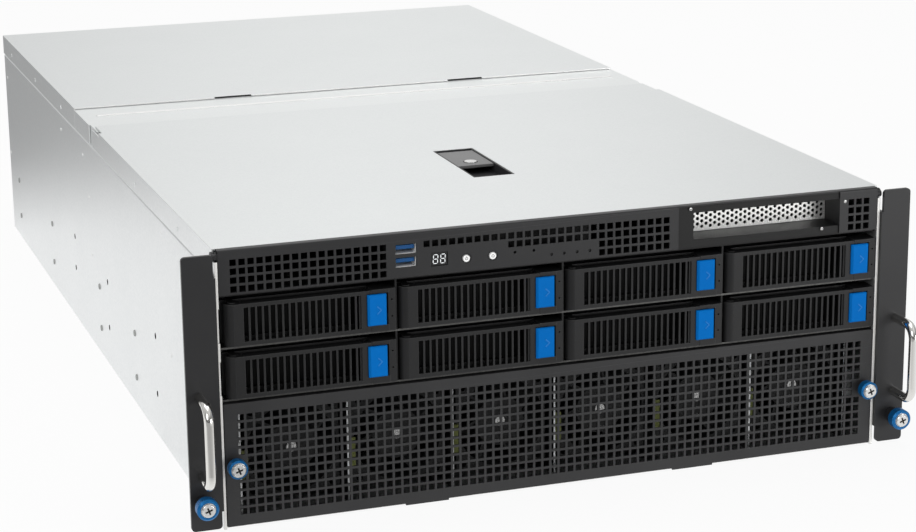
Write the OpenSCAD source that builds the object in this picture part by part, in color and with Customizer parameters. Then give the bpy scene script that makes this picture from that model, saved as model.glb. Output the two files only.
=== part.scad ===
// Four-unit rack server: eight hot-swap drive carriers over a wall of six fans at the front,
// eight graphics cards and four power supplies at the back, under two sliding covers.
// X runs right seen from the front, Y runs back and Z up, from the middle of the bottom.

/* [Body] */
// Width over the side walls
body_w = 439.5; // [436:0.5:446]
// Height of the body, four rack units less clearance
body_h = 174.5; // [173:0.5:180]
// Depth from the front plane to the rear panel's face
body_d = 800; // [770:1:860]
// Sheet thickness of the chassis
wall = 1.2; // [1:0.1:1.5]
// Sheet thickness of the covers
skin = 1; // [0.8:0.1:1.2]
// Width of the folded front edge of each side wall
hem_w = 1.8; // [1.6:0.1:2.2]
// Depth of the cover flanges that hang down the sides
flange_h = 15.8; // [12:0.1:20]

/* [Rack ears] */
// Width over both rack ears
rack_w = 480.2; // [480:0.1:483]
// Distance between the ear screws
ear_screw_pitch = 465.1; // [463:0.1:466]
// Height of the ear screws
ear_screw_z = 20; // [16:1:26]
// Thickness of the ear plate
ear_t = 2.5; // [2:0.1:3]
// Length of the ear's leg along the side wall
ear_leg = 45; // [30:1:90]
// Distance between a handle's feet
handle_span = 50; // [45:1:60]
// Height of a handle's middle
handle_z = 61.5; // [58:0.5:80]
// Reach of a handle in front of the ear
handle_reach = 30; // [24:1:36]
// Diameter of the handle bar
handle_d = 6; // [5:0.1:7]

/* [Drive bays] */
// Height of one row of bays
row_pitch = 32.6; // [31.8:0.1:33]
// Open height above a carrier in its row
row_gap = 6; // [5:0.1:7]
// Open width between two carriers
column_gap = 2.3; // [2.2:0.1:3]
// Strip left of the first carrier
bay_margin = 2.65; // [2:0.05:4]
// Length of a carrier behind the front plane
tray_d = 165; // [160:1:170]
// Pitch of the upright openings in a lever
louvre_pitch = 4.12; // [3.5:0.01:5]
// Width of one rib between those openings
louvre_rib = 1.2; // [0.8:0.1:1.6]
// Radius of a lever's hinge barrel
barrel_r = 5.35; // [4.8:0.05:5.5]
// Radius of a lever's hinge pin
pin_r = 1.2; // [1:0.1:1.5]
// Width of a release button
button_w = 11.8; // [11.7:0.1:14]
// Height of a release button
button_h = 19.4; // [16:0.1:20.5]
// Height a release button stands in front of the lever
button_proud = 2; // [1:0.1:3]
// Travel of a release button
button_travel = 2.5; // [2:0.1:2.6]
// Width of a drive
drive_w = 101.6; // [100:0.1:101.6]
// Length of a drive
drive_d = 147; // [140:1:147]
// Height of a drive
drive_h = 22; // [19:0.1:23]

/* [Front panels] */
// Height of the fan grille panel
grille_h = 77.9; // [76:0.1:79]
// Height of the floor edge below the grille panel
grille_z0 = 1.4; // [1.4:0.1:2]
// Sheet thickness of the front panels
panel_t = 1.5; // [1.2:0.1:2]
// Side of a square vent hole
vent = 4; // [3.5:0.1:4.4]
// Pitch of the square vent holes
vent_pitch = 5.45; // [5.2:0.01:6]
// Distance of a grille screw from the middle
grille_screw_x = 211.7; // [211:0.1:212.5]
// Diameter of an ear screw's ring
ear_ring_d = 13.6; // [12:0.1:14]
// Diameter of a grille screw's ring
grille_ring_d = 11.8; // [10:0.1:12]
// Diameter of a thumbscrew's bright head
screw_head_d = 8.4; // [7:0.1:9]
// Left edge of the add-in card window
slot_x0 = 88.6; // [86:0.1:92]
// Right edge of the add-in card window
slot_x1 = 190.7; // [188:0.1:194]
// Depth of the add-in card window
slot_depth = 20; // [14:1:26]

/* [Fans] */
// Side of a fan's square frame
fan_size = 60; // [56:1:60]
// Depth of a fan
fan_depth = 38; // [30:1:40]
// Place of the fans behind the front plane
fan_y = 20; // [18:1:26]
// Radius of the opening a fan's blades turn in
fan_bore_r = 28.6; // [24:0.1:28.8]
// Radius of a fan's hub
hub_r = 16; // [14:0.1:17]
// Number of blades on a fan
blades = 7; // [5:1:9]

/* [Covers] */
// Rear edge of the front cover
cover_y1 = 380; // [370:1:390]
// Front edge of the rear cover
rear_cover_y = 452; // [445:1:460]
// Travel of the front cover
cover_travel = 12; // [8:1:12]
// Width of the latch well
latch_w = 28.8; // [26:0.1:32]
// Front edge of the latch well
latch_y0 = 122.8; // [118:0.1:128]
// Length of the latch well
latch_len = 86.2; // [80:0.1:92]
// Length of the latch lever
latch_lever_len = 44; // [40:0.5:50]

/* [Rear] */
// Width of a power supply
psu_w = 73.5; // [70:0.1:76]
// Length of a power supply
psu_d = 185; // [180:1:265]
// Pitch of the graphics cards, two slots each
card_pitch = 40.64; // [40:0.01:40.64]
// Length of a graphics card
card_len = 267; // [240:1:270]
// Height of a graphics card's body
card_h = 105; // [98:1:106]

/* [Hidden] */
$fn = 48;
gap = 0.3;              // clearance between pieces that move
seat = 0.15;            // clearance between pieces that are fixed together
bore_gap = 0.06;        // running clearance of a shaft in its bore
eps = 0.01;
half_w = body_w / 2;
inset = skin + gap;                       // joggle of the side wall under the cover flange
joggle_z = body_h - flange_h - inset - gap;
top_z = body_h - skin - gap - skin - 0.1; // top of the side walls' inner flange
rail_w = 14;                              // width of that flange
bezel_half = half_w - hem_w - gap;
mid_y = (body_d + psu_loop() - handle_reach) / 2;
front_back = 3;                           // where the chassis floor starts

deck_z = grille_z0 + grille_h + 0.8;
shelf_t = 1.2;
lift = 0.4;                               // running height of a carrier over its shelf
cage_top = deck_z + 2 * row_pitch;
panel_z0 = cage_top + shelf_t + gap;
deck_d = 446;

bay_pitch = (2 * bezel_half - bay_margin + column_gap - seat) / 4;
tray_w = bay_pitch - column_gap;
tray_h = row_pitch - row_gap;
function bay_x(i) = -bezel_half + bay_margin + (i % 4) * bay_pitch;
function bay_z(i) = deck_z + shelf_t + lift + (i < 4 ? row_pitch : 0);

fan_pitch = (2 * half_w - 29.7) / 6;
fan_z = deck_z / 2;
partition_y = 14;
function fan_x(i) = (i - 2.5) * fan_pitch;
grille_screw_z = fan_z + 0.5;

psu_count = 4;
psu_x0 = -half_w + wall + 3;
psu_z0 = wall + 1;
psu_pitch = (top_z - wall - psu_z0 - 0.6) / psu_count;
psu_h = psu_pitch - wall - 1;
function psu_loop() = 24;
card_x0 = psu_x0 + psu_w + 14;
board_z = 36;
io_range = [card_x0 + 4, card_x0 + 124];
card_z0 = board_z + 16;
bracket_h = 120;

ear_half = rack_w / 2;
ear_screw_x = ear_screw_pitch / 2;
ear_inner = half_w + seat;
button_x = tray_w - 6.1 - button_w;
button_z = (tray_h - button_h) / 2 + 0.9;
lever_end_x = button_x + 2.4;
lug_r = 2.4;
lug_waist = 0.3;          // how much narrower a hinge tongue is behind its round end
lever_turn = 68;         // most that a lever turns out, in degrees
barrel_x = barrel_r + 0.7;
barrel_y = barrel_r + 0.05;
lever_t = 2.2;
tray_wall_y = barrel_y + barrel_r + 0.5;
louvre_x0 = barrel_x + barrel_r + 0.3;
io_board_y = 15;
usb_x = -101.4;
power_x = -63.1;
id_x = -46;
press = 1;              // travel of a push button
cap_r = 2.15;
ear_shank_r = 2.9;
grille_shank_r = 2.5;
panel_button_z = panel_z0 + 8.2;

black = "#2b2b2d";
steel = "#c9cdce";
blue = "#2479cc";
board_green = "#4d5a2a";

// ---- helpers -------------------------------------------------------------------------

// Box from its three ranges.
module slab(x, y, z) {
    translate([x[0], y[0], z[0]])
        cube([x[1] - x[0], y[1] - y[0], z[1] - z[0]]);
}

// Outline in X and Z, given thickness from y0 backwards.
module front_sheet(y0, t) {
    translate([0, y0 + t, 0])
        rotate([90, 0, 0])
            linear_extrude(t)
                children();
}

// Outline in Y and Z, given thickness from x0 to the right.
module side_sheet(x0, t) {
    translate([x0, 0, 0])
        rotate([90, 0, 90])
            linear_extrude(t)
                children();
}

// Outline in X and Y, given thickness from z0 upwards.
module flat_sheet(z0, t) {
    translate([0, 0, z0])
        linear_extrude(t)
            children();
}

// Rectangle from its two ranges.
module window(x, y) {
    translate([x[0], y[0]])
        square([x[1] - x[0], y[1] - y[0]]);
}

// Rectangle with round corners, from its two ranges.
module round_window(x, y, r) {
    window([x[0] + r, x[1] - r], y);
    window(x, [y[0] + r, y[1] - r]);
    for (px = [x[0] + r, x[1] - r], py = [y[0] + r, y[1] - r])
        translate([px, py])
            circle(r);
}

// Square holes in columns and rows, with the first hole's middle at x0, y0.
module vent_grid(x0, y0, columns, rows) {
    for (i = [0:columns - 1], j = [0:rows - 1])
        translate([x0 + i * vent_pitch - vent / 2, y0 + j * vent_pitch - vent / 2])
            square(vent);
}

// The child and its mirror image on the left.
module both_sides() {
    children();
    mirror([1, 0, 0])
        children();
}

// Round bar from y0 to y1.
module bar_y(x, z, r, y0, y1) {
    translate([x, y0, z])
        rotate([-90, 0, 0])
            cylinder(r = r, h = y1 - y0);
}

// ---- chassis -------------------------------------------------------------------------

// Section of the right half of the folded sheet, from the floor up to the inner flange.
module tub_section() {
    in_x = half_w - inset;
    polygon([
        [0, 0], [half_w, 0], [half_w, joggle_z], [in_x, joggle_z + inset], [in_x, top_z],
        [in_x - rail_w, top_z], [in_x - rail_w, top_z - wall], [in_x - wall, top_z - wall],
        [in_x - wall, joggle_z + inset + wall / 2], [half_w - wall, joggle_z + wall / 2],
        [half_w - wall, wall], [0, wall]]);
}

// Folded front edge of a side wall; the left one is cut away beside the carriers.
module front_hem(side) {
    cut_h = tray_h - 5.6;
    difference() {
        union() {
            slab([half_w - hem_w, half_w], [0, front_back - seat], [0, body_h - knob_drop]);
            slab([half_w - wall, half_w], [0, front_back + 1], [0, body_h - knob_drop]);
        }
        if (side < 0)
            for (i = [0, 4])
                slab([half_w - hem_w - 1, half_w + 1], [-1, 2],
                     [bay_z(i) + 3.4, bay_z(i) + 3.4 + cut_h]);
    }
}

// Holes for the rack rail along a side wall, and the bosses and rivets pressed into it.
rail_holes = [[183.5, 30], [349, 30], [182, 71], [348, 65], [478, 68], [480, 42.4]];
rail_hole_r = 2.2;
boss_y = [252.5, 380.5, 584, 752];
boss_z = [20.8, 53];
rivets = [[148, 150], [424, 144.5], [516, 145.5], [787, 139], [406, 116], [793, 70],
          [132, 72], [406, 71]];

// Round head on a side face, pushed out by h.
module side_head(x, y, z, r, h) {
    translate([x - eps, y, z])
        rotate([0, 90, 0])
            cylinder(r1 = r, r2 = r - h / 2, h = h + eps);
}

module chassis_tub() {
    back = body_d - wall - seat;
    color(steel)
    difference() {
        union() {
            both_sides()
                translate([0, back, 0])
                    rotate([90, 0, 0])
                        linear_extrude(back - front_back)
                            tub_section();
            front_hem(1);
            mirror([1, 0, 0])
                front_hem(-1);
            for (k = [-3:3])
                slab([k * fan_pitch - wall / 2, k * fan_pitch + wall / 2],
                     [partition_y, partition_y + 48], [wall / 2, deck_z - gap]);
            both_sides() {
                slab([3 * fan_pitch, half_w - wall / 2], [partition_y - 2, partition_y],
                     [grille_screw_z - 9, grille_screw_z + 9]);
                for (y = boss_y, z = boss_z)
                    side_head(half_w, y, z, 2.4, 0.8);
                for (p = rivets)
                    side_head(half_w, p[0], p[1], 1.3, 0.4);
            }
        }
        both_sides()
            bar_y(grille_screw_x, grille_screw_z, grille_shank_r + bore_gap, partition_y - 3,
                  partition_y + 1);
        for (p = rail_holes)
            both_sides()
                translate([half_w - wall - 1, p[0], p[1]])
                    rotate([0, 90, 0])
                        cylinder(r = rail_hole_r, h = wall + 2);
        both_sides()
            slab([half_w - 4, half_w + 1], [0, return_d + 0.1], [body_h - knob_drop, body_h]);
        // the front of the inner flange makes room for the control panel's return
        slab([-half_w + wall + inset, half_w - wall - inset], [0, 8], [top_z - 2 * wall, top_z + 1]);
    }
}

// ---- drive cage and boards -----------------------------------------------------------

// Shelves under and over the carriers, the uprights between them, and the deck that
// runs back over the fan tunnel to carry the motherboard.
module drive_cage() {
    in_x = half_w - wall - seat;
    cage_d = tray_d + 14;
    color(black) {
        slab([-in_x, in_x], [front_back, deck_d], [deck_z, deck_z + shelf_t]);
        for (k = [1, 2])
            slab([-in_x, in_x], [front_back, cage_d],
                 [deck_z + k * row_pitch, deck_z + k * row_pitch + shelf_t]);
        for (i = [1:3]) {
            x = bay_x(i) - column_gap / 2;
            slab([x - wall / 2, x + wall / 2], [front_back, backplane_y - seat],
                 [deck_z + shelf_t / 2, cage_top + shelf_t / 2]);
        }
        // flanges along the side walls and across the back of the deck
        both_sides() {
            slab([in_x - wall, in_x], [front_back + 8, deck_d],
                 [deck_z - 12, deck_z + shelf_t / 2]);
            slab([in_x - wall, in_x], [front_back + 8, cage_d],
                 [cage_top + shelf_t / 2, cage_top + 10]);
        }
        slab([-in_x, in_x], [deck_d - wall, deck_d], [deck_z - 14, deck_z + shelf_t / 2]);
    }
}

// Processor cooler: a finned block on its base.
module cpu_cooler(x, y, z) {
    slab([x - 39, x + 39], [y - 54, y + 54], [z, z + 6]);
    for (k = [0:12])
        slab([x - 38 + k * 6, x - 36.8 + k * 6], [y - 52, y + 52], [z + 5, z + 60]);
}

board_t = 1.6;
mother_y0 = tray_d + 26;
mother_z = deck_z + shelf_t + 6;
backplane_y = tray_d + 4;
slot_board_y1 = body_d - 44;

module main_boards() {
    color(board_green) {
        // backplane behind the carriers, open around the air path, with one socket a drive
        front_sheet(backplane_y, board_t)
            difference() {
                window([-half_w + wall + 2, half_w - wall - 2],
                       [deck_z + shelf_t + seat, deck_z + row_pitch - seat]);
                for (i = [4:7])
                    window([bay_x(i) + 50, bay_x(i) + tray_w - 8],
                           [bay_z(i) + 3, bay_z(i) + tray_h - 3]);
            }
        for (i = [0:7])
            slab([bay_x(i) + 8, bay_x(i) + 42], [tray_d - 0.7, backplane_y + board_t / 2],
                 [bay_z(i) + 5, bay_z(i) + 12]);
        front_sheet(backplane_y, board_t)
            difference() {
                window([-half_w + wall + 2, half_w - wall - 2],
                       [deck_z + row_pitch + shelf_t + seat, cage_top - seat]);
                for (i = [0:3])
                    window([bay_x(i) + 50, bay_x(i) + tray_w - 8],
                           [bay_z(i) + 3, bay_z(i) + tray_h - 3]);
            }
        // motherboard on its stand-offs, with two processors' coolers and memory
        slab([-208, 208], [mother_y0, deck_d - 6], [mother_z, mother_z + board_t]);
        for (x = [-200, 0, 200], y = [mother_y0 + 8, deck_d - 14])
            translate([x, y, deck_z + shelf_t + seat])
                cylinder(r = 3, h = mother_z - deck_z - shelf_t);
        for (x = [-104, 104], k = [0:7]) {
            dx = (k < 4 ? -48 - 8 * k : 48 + 8 * (k - 4));
            slab([x + dx - 2, x + dx + 2], [mother_y0 + 40, mother_y0 + 173],
                 [mother_z + board_t / 2, mother_z + 34]);
        }
        // board with the graphics card slots
        slab([card_x0 - 6, half_w - wall - 3], [rear_cover_y + 18, slot_board_y1],
             [board_z, board_z + board_t]);
        for (i = [0:7])
            slab([card_x0 + (i + 0.5) * card_pitch - 4, card_x0 + (i + 0.5) * card_pitch + 4],
                 [body_d - 160, body_d - 70], [board_z + board_t / 2, board_z + 11]);
        for (x = [card_x0, half_w - wall - 9], y = [rear_cover_y + 24, slot_board_y1 - 8])
            translate([x, y, wall + seat])
                cylinder(r = 3, h = board_z - wall);
        // small boards with the fans' sockets, one beside each partition
        for (k = [-3:2])
            slab([k * fan_pitch + wall / 2 + gap, k * fan_pitch + wall / 2 + gap + 4.4],
                 [fan_y - 4, fan_y - 4 + board_t], [fan_z - 17, fan_z + 3]);
    }
    color(steel)
        for (x = [-104, 104])
            cpu_cooler(x, mother_y0 + 106, mother_z + board_t + seat);
}

// ---- front panels --------------------------------------------------------------------

// Openings of the upper panel: vents, sockets, display, buttons and lamps.
module panel_openings() {
    z1 = panel_z0 + 3.3;
    vent_grid(-208.6, z1, 18, 4);
    vent_grid(-88.3, z1 + 3 * vent_pitch, 30, 1);
    vent_grid(-33.8, z1 + 2 * vent_pitch, 20, 1);
    vent_grid(26.3, z1, 9, 2);
    vent_grid(slot_x1 + 8.2, z1, 3, 4);
    for (z = usb_z)
        window([usb_x - 6.6, usb_x + 6.6], [z - 3.1, z + 3.1]);
    window([display_x - 5.4, display_x + 5.4], [display_z - 4.3, display_z + 4.3]);
    for (x = [power_x, id_x])
        translate([x, panel_button_z])
            circle(cap_r + gap);
    for (x = [-31.4, -19])
        translate([x, panel_button_z + 0.7])
            circle(0.9);
    for (x = lamp_x)
        translate([x, panel_button_z - 3])
            circle(0.95);
}

usb_z = [panel_z0 + 9.4, panel_z0 + 17.6];
display_x = -80.2;
display_z = panel_z0 + 9.4;
lamp_x = [-7.4, 1, 9.6, 18.1];
return_d = 5;
knob_drop = 7;            // height of the corner that is left free for the panel's pins
pin_z = body_h - 4.4;
frame_x0 = slot_x0 - 10.6;

// Folded sheet: the face, a return on top with a round edge, and one under it.
module panel_section() {
    r = 1.2;
    polygon(concat(
        [[0, panel_z0]],
        [for (a = [0:15:90]) [r - r * cos(a), body_h - r + r * sin(a)]],
        [[return_d, body_h], [return_d, body_h - skin], [panel_t, body_h - skin],
         [panel_t, panel_z0 + skin], [return_d, panel_z0 + skin], [return_d, panel_z0]]));
}

module control_panel() {
    end_x = half_w - inset - wall - seat;
    color(black)
    difference() {
        union() {
            side_sheet(-bezel_half, frame_x0 + bezel_half)
                panel_section();
            side_sheet(slot_x1, bezel_half - slot_x1)
                panel_section();
            // the top return carries on over the card window
            slab([frame_x0 - 1, slot_x1 + 1], [0.8, return_d], [body_h - skin, body_h]);
            // walls of the right block and of both ends
            slab([slot_x1, slot_x1 + wall], [0.8, return_d], [panel_z0, body_h - skin / 2]);
            slab([slot_x1, slot_x1 + wall], [0.8, slot_depth],
                 [panel_z0, body_h - skin - gap]);
            both_sides() {
                slab([end_x - wall, end_x], [0.8, 14], [panel_z0, top_z - wall - seat]);
                // headed pin that locates the panel on the tub's front corner
                translate([end_x - wall, return_d / 2, pin_z])
                    rotate([0, 90, 0])
                        cylinder(r = 2.2, h = half_w + 1 - end_x + wall);
                translate([half_w + gap, return_d / 2 + 2, pin_z])
                    rotate([0, 90, 0])
                        cylinder(r = 3, h = 0.9);
            }
        }
        front_sheet(-1, panel_t + 2)
            panel_openings();
        for (x = [power_x, id_x])
            bar_y(x, panel_button_z, 3.4, -eps, 0.5);
    }
}

// Board with two stacked sockets, a two-digit display and the switches.
module front_io() {
    z0 = panel_z0 + 2;
    color("#d4d6d8") {
        slab([usb_x - 10, 24], [io_board_y, io_board_y + board_t], [z0, body_h - 3]);
        for (z = usb_z)
            difference() {
                slab([usb_x - 6.9, usb_x + 6.9], [panel_t + seat, io_board_y + eps],
                     [z - 3.4, z + 3.4]);
                slab([usb_x - 6.4, usb_x + 6.4], [0, io_board_y - 3], [z - 2.9, z + 2.9]);
            }
        for (z = usb_z)
            slab([usb_x - 5.8, usb_x + 5.8], [2, io_board_y], [z - 0.2, z + 2]);
        slab([display_x - 5.1, display_x + 5.1], [0.6, io_board_y + eps],
             [display_z - 4, display_z + 4]);
        for (x = [power_x, id_x])
            bar_y(x, panel_button_z, 2.2, 6 + press + gap, io_board_y + eps);
        for (x = lamp_x)
            bar_y(x, panel_button_z - 3, 0.6, 0.5, io_board_y + eps);
    }
}

// Push button: a round cap with a collar behind the panel.
module push_button(x) {
    color("#e6e8ea") {
        bar_y(x, panel_button_z, cap_r, -0.8, 6);
        bar_y(x, panel_button_z, 3.3, panel_t + gap, panel_t + gap + 1);
    }
}

// Black frame round the add-in card window, with its floor running back to the bracket.
module slot_frame() {
    z0 = panel_z0 + seat;
    z1 = body_h - skin - seat;
    floor_z = panel_z0 + 5;
    color(black) {
        difference() {
            slab([frame_x0 + seat, slot_x1 - seat], [1, 1 + wall], [z0, z1]);
            slab([slot_x0, slot_x1], [0, 3], [floor_z, floor_z + 17.4]);
        }
        slab([slot_x0 - wall, slot_x1 - seat], [1, slot_depth + 6], [floor_z - wall, floor_z]);
        slab([slot_x0 - wall, slot_x0], [1, slot_depth + 6], [floor_z - wall, z1]);
        slab([slot_x0 - wall, slot_x1 - seat], [1, slot_depth + 6], [z1 - wall, z1]);
    }
}

// Bright blanking bracket with staggered round holes.
module slot_bracket() {
    z0 = panel_z0 + 5 + seat;
    x0 = slot_x0 + seat;
    x1 = slot_x1 - seat;
    hole_r = 1.1;
    column_pitch = 3.03;
    hole_pitch = 3.5;
    columns = floor((x1 - x0 - 4) / column_pitch);
    color(steel)
        front_sheet(slot_depth, 1)
            difference() {
                window([x0, x1], [z0, z0 + 18.4]);
                for (i = [0:columns], j = [0:3])
                    translate([x0 + 2.2 + i * column_pitch,
                               z0 + 2.8 + j * hole_pitch + (i % 2) * hole_pitch / 2])
                        circle(hole_r);
            }
}

// One row of the grille's holes in its strip of sheet, from z0 to z1.
module grille_row(x, z0, z1, hole_z, columns) {
    difference() {
        window([-x, x], [z0, z1]);
        for (i = [0:columns - 1]) {
            hx = (i - (columns - 1) / 2) * vent_pitch;
            near = norm([abs(hx) - grille_screw_x, hole_z - grille_screw_z]);
            if (near > grille_ring_d / 2 + 1)
                translate([hx - vent / 2, hole_z - vent / 2])
                    square(vent);
        }
        for (s = [-1, 1])
            translate([s * grille_screw_x, grille_screw_z])
                circle(grille_shank_r + bore_gap);
    }
}

// Removable vented panel in front of the fans, with two tabs that hook under the floor.
module fan_grille() {
    x = bezel_half - gap;
    z1 = grille_z0 + grille_h;
    columns = floor((2 * x - 11) / vent_pitch);
    rows = floor((grille_h - 11) / vent_pitch);
    first_z = (grille_z0 + z1) / 2 - (rows - 1) / 2 * vent_pitch;
    color(black) {
        // every other row lies a hair further back, as the punch leaves it
        for (j = [0:rows - 1]) {
            hz = first_z + j * vent_pitch;
            front_sheet((j % 2) * 0.02, panel_t)
                grille_row(x, j == 0 ? grille_z0 : hz - vent_pitch / 2,
                           j == rows - 1 ? z1 : hz + vent_pitch / 2, hz, columns);
        }
        for (s = [-1, 1])
            slab([s * 90 - 14, s * 90 + 14], [0, panel_t], [0.2, grille_z0 + 1]);
        // folded edges
        slab([-x, x], [panel_t / 2, 9], [z1 - panel_t, z1]);
        slab([-x, x], [panel_t / 2, 2.6], [grille_z0, grille_z0 + panel_t]);
        for (s = [-1, 1])
            slab([s * (x - panel_t / 2) - panel_t / 2, s * (x - panel_t / 2) + panel_t / 2],
                 [panel_t / 2, 9], [grille_z0, z1]);
    }
}

// ---- thumbscrews ---------------------------------------------------------------------

// Captive thumbscrew: a neck, then a ring round the cross-slotted head. face is the
// front of the plate it sits on; the other lengths are counted forwards or back from it.
module thumbscrew(x, z, face, ring_d, ring, head_len, shank_r, tip) {
    head_r = screw_head_d / 2;
    chamfer = 1.1;
    translate([x, face, z])
        rotate([90, 0, 0])
            difference() {
                rotate_extrude()
                    polygon([
                        [0, -tip], [shank_r, -tip], [shank_r, gap],
                        [ring_d * 0.37, gap], [ring_d * 0.37, ring[0]],
                        [ring_d / 2 - 0.4, ring[0]], [ring_d / 2, ring[0] + 0.4],
                        [ring_d / 2, ring[1] - chamfer], [ring_d / 2 - chamfer, ring[1]],
                        [head_r + 0.6, ring[1]], [head_r + 0.3, ring[1] - 0.6],
                        [head_r, ring[1] - 0.6], [head_r, head_len - 0.6],
                        [head_r - 0.6, head_len], [0, head_len]]);
                for (a = [20, 110])
                    rotate([0, 0, a])
                        translate([-head_r * 0.55, -0.55, head_len - 1.6])
                            cube([head_r * 1.1, 1.1, 3]);
            }
}

module ear_screw(side) {
    color(blue)
        thumbscrew(side * ear_screw_x, ear_screw_z, -ear_t, ear_ring_d, [7, 14], 15.2,
                   ear_shank_r, ear_t + 14);
}

module grille_screw(side) {
    color(blue)
        thumbscrew(side * grille_screw_x, grille_screw_z, 0, grille_ring_d, [4, 10.4], 11.7,
                   grille_shank_r, partition_y + 4);
}

// ---- rack ears -----------------------------------------------------------------------

ear_z0 = 2;
ear_z1 = body_h - 1.7;
leg_z0 = 13;
leg_z1 = body_h - 16;

// Outline of an ear's front plate, on the right.
module ear_outline() {
    difference() {
        round_window([ear_inner + ear_t / 2, ear_half], [ear_z0, ear_z1], 2.5);
        translate([ear_screw_x, ear_screw_z])
            circle(ear_shank_r + bore_gap);
    }
    window([ear_inner, ear_inner + ear_t + 4], [leg_z0, leg_z1]);
}

module ear_right() {
    color(black)
    difference() {
        union() {
            front_sheet(-ear_t, ear_t)
                ear_outline();
            slab([ear_inner, ear_inner + ear_t], [-ear_t / 2, ear_leg], [leg_z0, leg_z1]);
        }
        // countersunk screws hold the leg to the side wall
        for (z = [leg_z0 + 12, (leg_z0 + leg_z1) / 2, leg_z1 - 12])
            translate([ear_inner + ear_t - 1.2, ear_leg - 12, z])
                rotate([0, 90, 0])
                    cylinder(r1 = 2, r2 = 3.4, h = 1.3);
    }
}

module ear_left() {
    mirror([1, 0, 0])
        ear_right();
}

// Bent bar with its two feet on the ear.
module bar_handle() {
    bend_r = 9;
    reach = handle_reach - handle_d / 2;
    arm = handle_span / 2 - bend_r;
    translate([ear_screw_x, 0, handle_z]) {
        for (s = [-1, 1]) {
            translate([0, -ear_t - seat, s * handle_span / 2])
                rotate([90, 0, 0])
                    cylinder(d = handle_d, h = reach - bend_r - ear_t - seat + eps);
            translate([0, -reach + bend_r, s * arm])
                rotate([s > 0 ? 180 : -90, 0, 0])
                    rotate([0, 90, 0])
                        rotate_extrude(angle = 90)
                            translate([bend_r, 0])
                                circle(d = handle_d);
        }
        translate([0, -reach, -arm - eps])
            cylinder(d = handle_d, h = 2 * arm + 2 * eps);
    }
}

module ear_handles() {
    color("#e3e3e0")
        both_sides()
            bar_handle();
}

// ---- fans ----------------------------------------------------------------------------

// Square frame with the motor carrier across its back.
module fan_frame(i) {
    y1 = fan_y + fan_depth;
    half = fan_size / 2;
    rail_x = fan_pitch / 2 - wall / 2 - seat;
    translate([fan_x(i), 0, fan_z]) {
        difference() {
            union() {
                slab([-half, half], [fan_y, y1], [-half, half]);
                // clips that hold the frame between the partitions
                for (z = [-half, half - 4])
                    slab([-rail_x, rail_x], [fan_y + 8, y1], [z, z + 4]);
            }
            bar_y(0, 0, fan_bore_r, fan_y - 1, y1 + 1);
            for (x = [-1, 1], z = [-1, 1])
                bar_y(x * (half - 4.6), z * (half - 4.6), 2.1, fan_y - 1, y1 + 1);
        }
        difference() {
            union() {
                bar_y(0, 0, 14, y1 - 4, y1);
                bar_y(0, 0, 4, fan_y + 10, y1);
                for (a = [45:90:315])
                    rotate([0, a, 0])
                        slab([10, fan_bore_r + 0.5], [y1 - 4, y1], [-1.5, 1.5]);
            }
            bar_y(0, 0, 1.5 + bore_gap, fan_y + 9, y1 + 1);
        }
    }
}

module fan_frames() {
    color("#1f2022")
        for (i = [0:5])
            fan_frame(i);
}

// Hub cup on its shaft, with slanted blades.
module fan_rotor(i) {
    y0 = fan_y + 2;
    tip_r = fan_bore_r - 0.7;
    color("#26272a")
    translate([fan_x(i), 0, fan_z]) {
        difference() {
            bar_y(0, 0, hub_r, y0, y0 + 22);
            bar_y(0, 0, hub_r - 2, y0 + 2, y0 + 23);
        }
        bar_y(0, 0, 1.5, y0 + 1, fan_y + fan_depth - 0.5);
        intersection() {
            difference() {
                bar_y(0, 0, tip_r, y0 + 1, y0 + 21);
                bar_y(0, 0, hub_r - 1, y0, y0 + 22);
            }
            for (k = [0:blades - 1])
                rotate([0, k * 360 / blades, 0])
                    translate([0, y0 + 11, 0])
                        rotate([38, 0, 0])
                            slab([hub_r - 2, fan_bore_r + 2], [-13, 13], [-0.8, 0.8]);
        }
    }
}

// ---- drive carriers ------------------------------------------------------------------

// Tongue of the carrier that holds one end of the lever's hinge pin from behind.
module hinge_lug(z, t) {
    half = lug_r - lug_waist;
    translate([barrel_x, barrel_y, z])
        cylinder(r = lug_r, h = t);
    slab([barrel_x - half, barrel_x + half], [barrel_y, tray_wall_y + 0.5], [z, z + t]);
}

// Pocket in an end of the lever's barrel that the tongue swings in.
module lug_pocket(z, t) {
    half = lug_r - lug_waist + gap;
    c = cos(lever_turn);
    s = sin(lever_turn);
    reach = 9;
    translate([barrel_x, barrel_y, z]) {
        cylinder(r = lug_r + gap, h = t);
        linear_extrude(t)
            polygon([[half, 0], [half, reach], [-reach, reach],
                     [-half * c - reach * s, -half * s + reach * c], [-half * c, -half * s],
                     [0, 0]]);
    }
}

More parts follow.
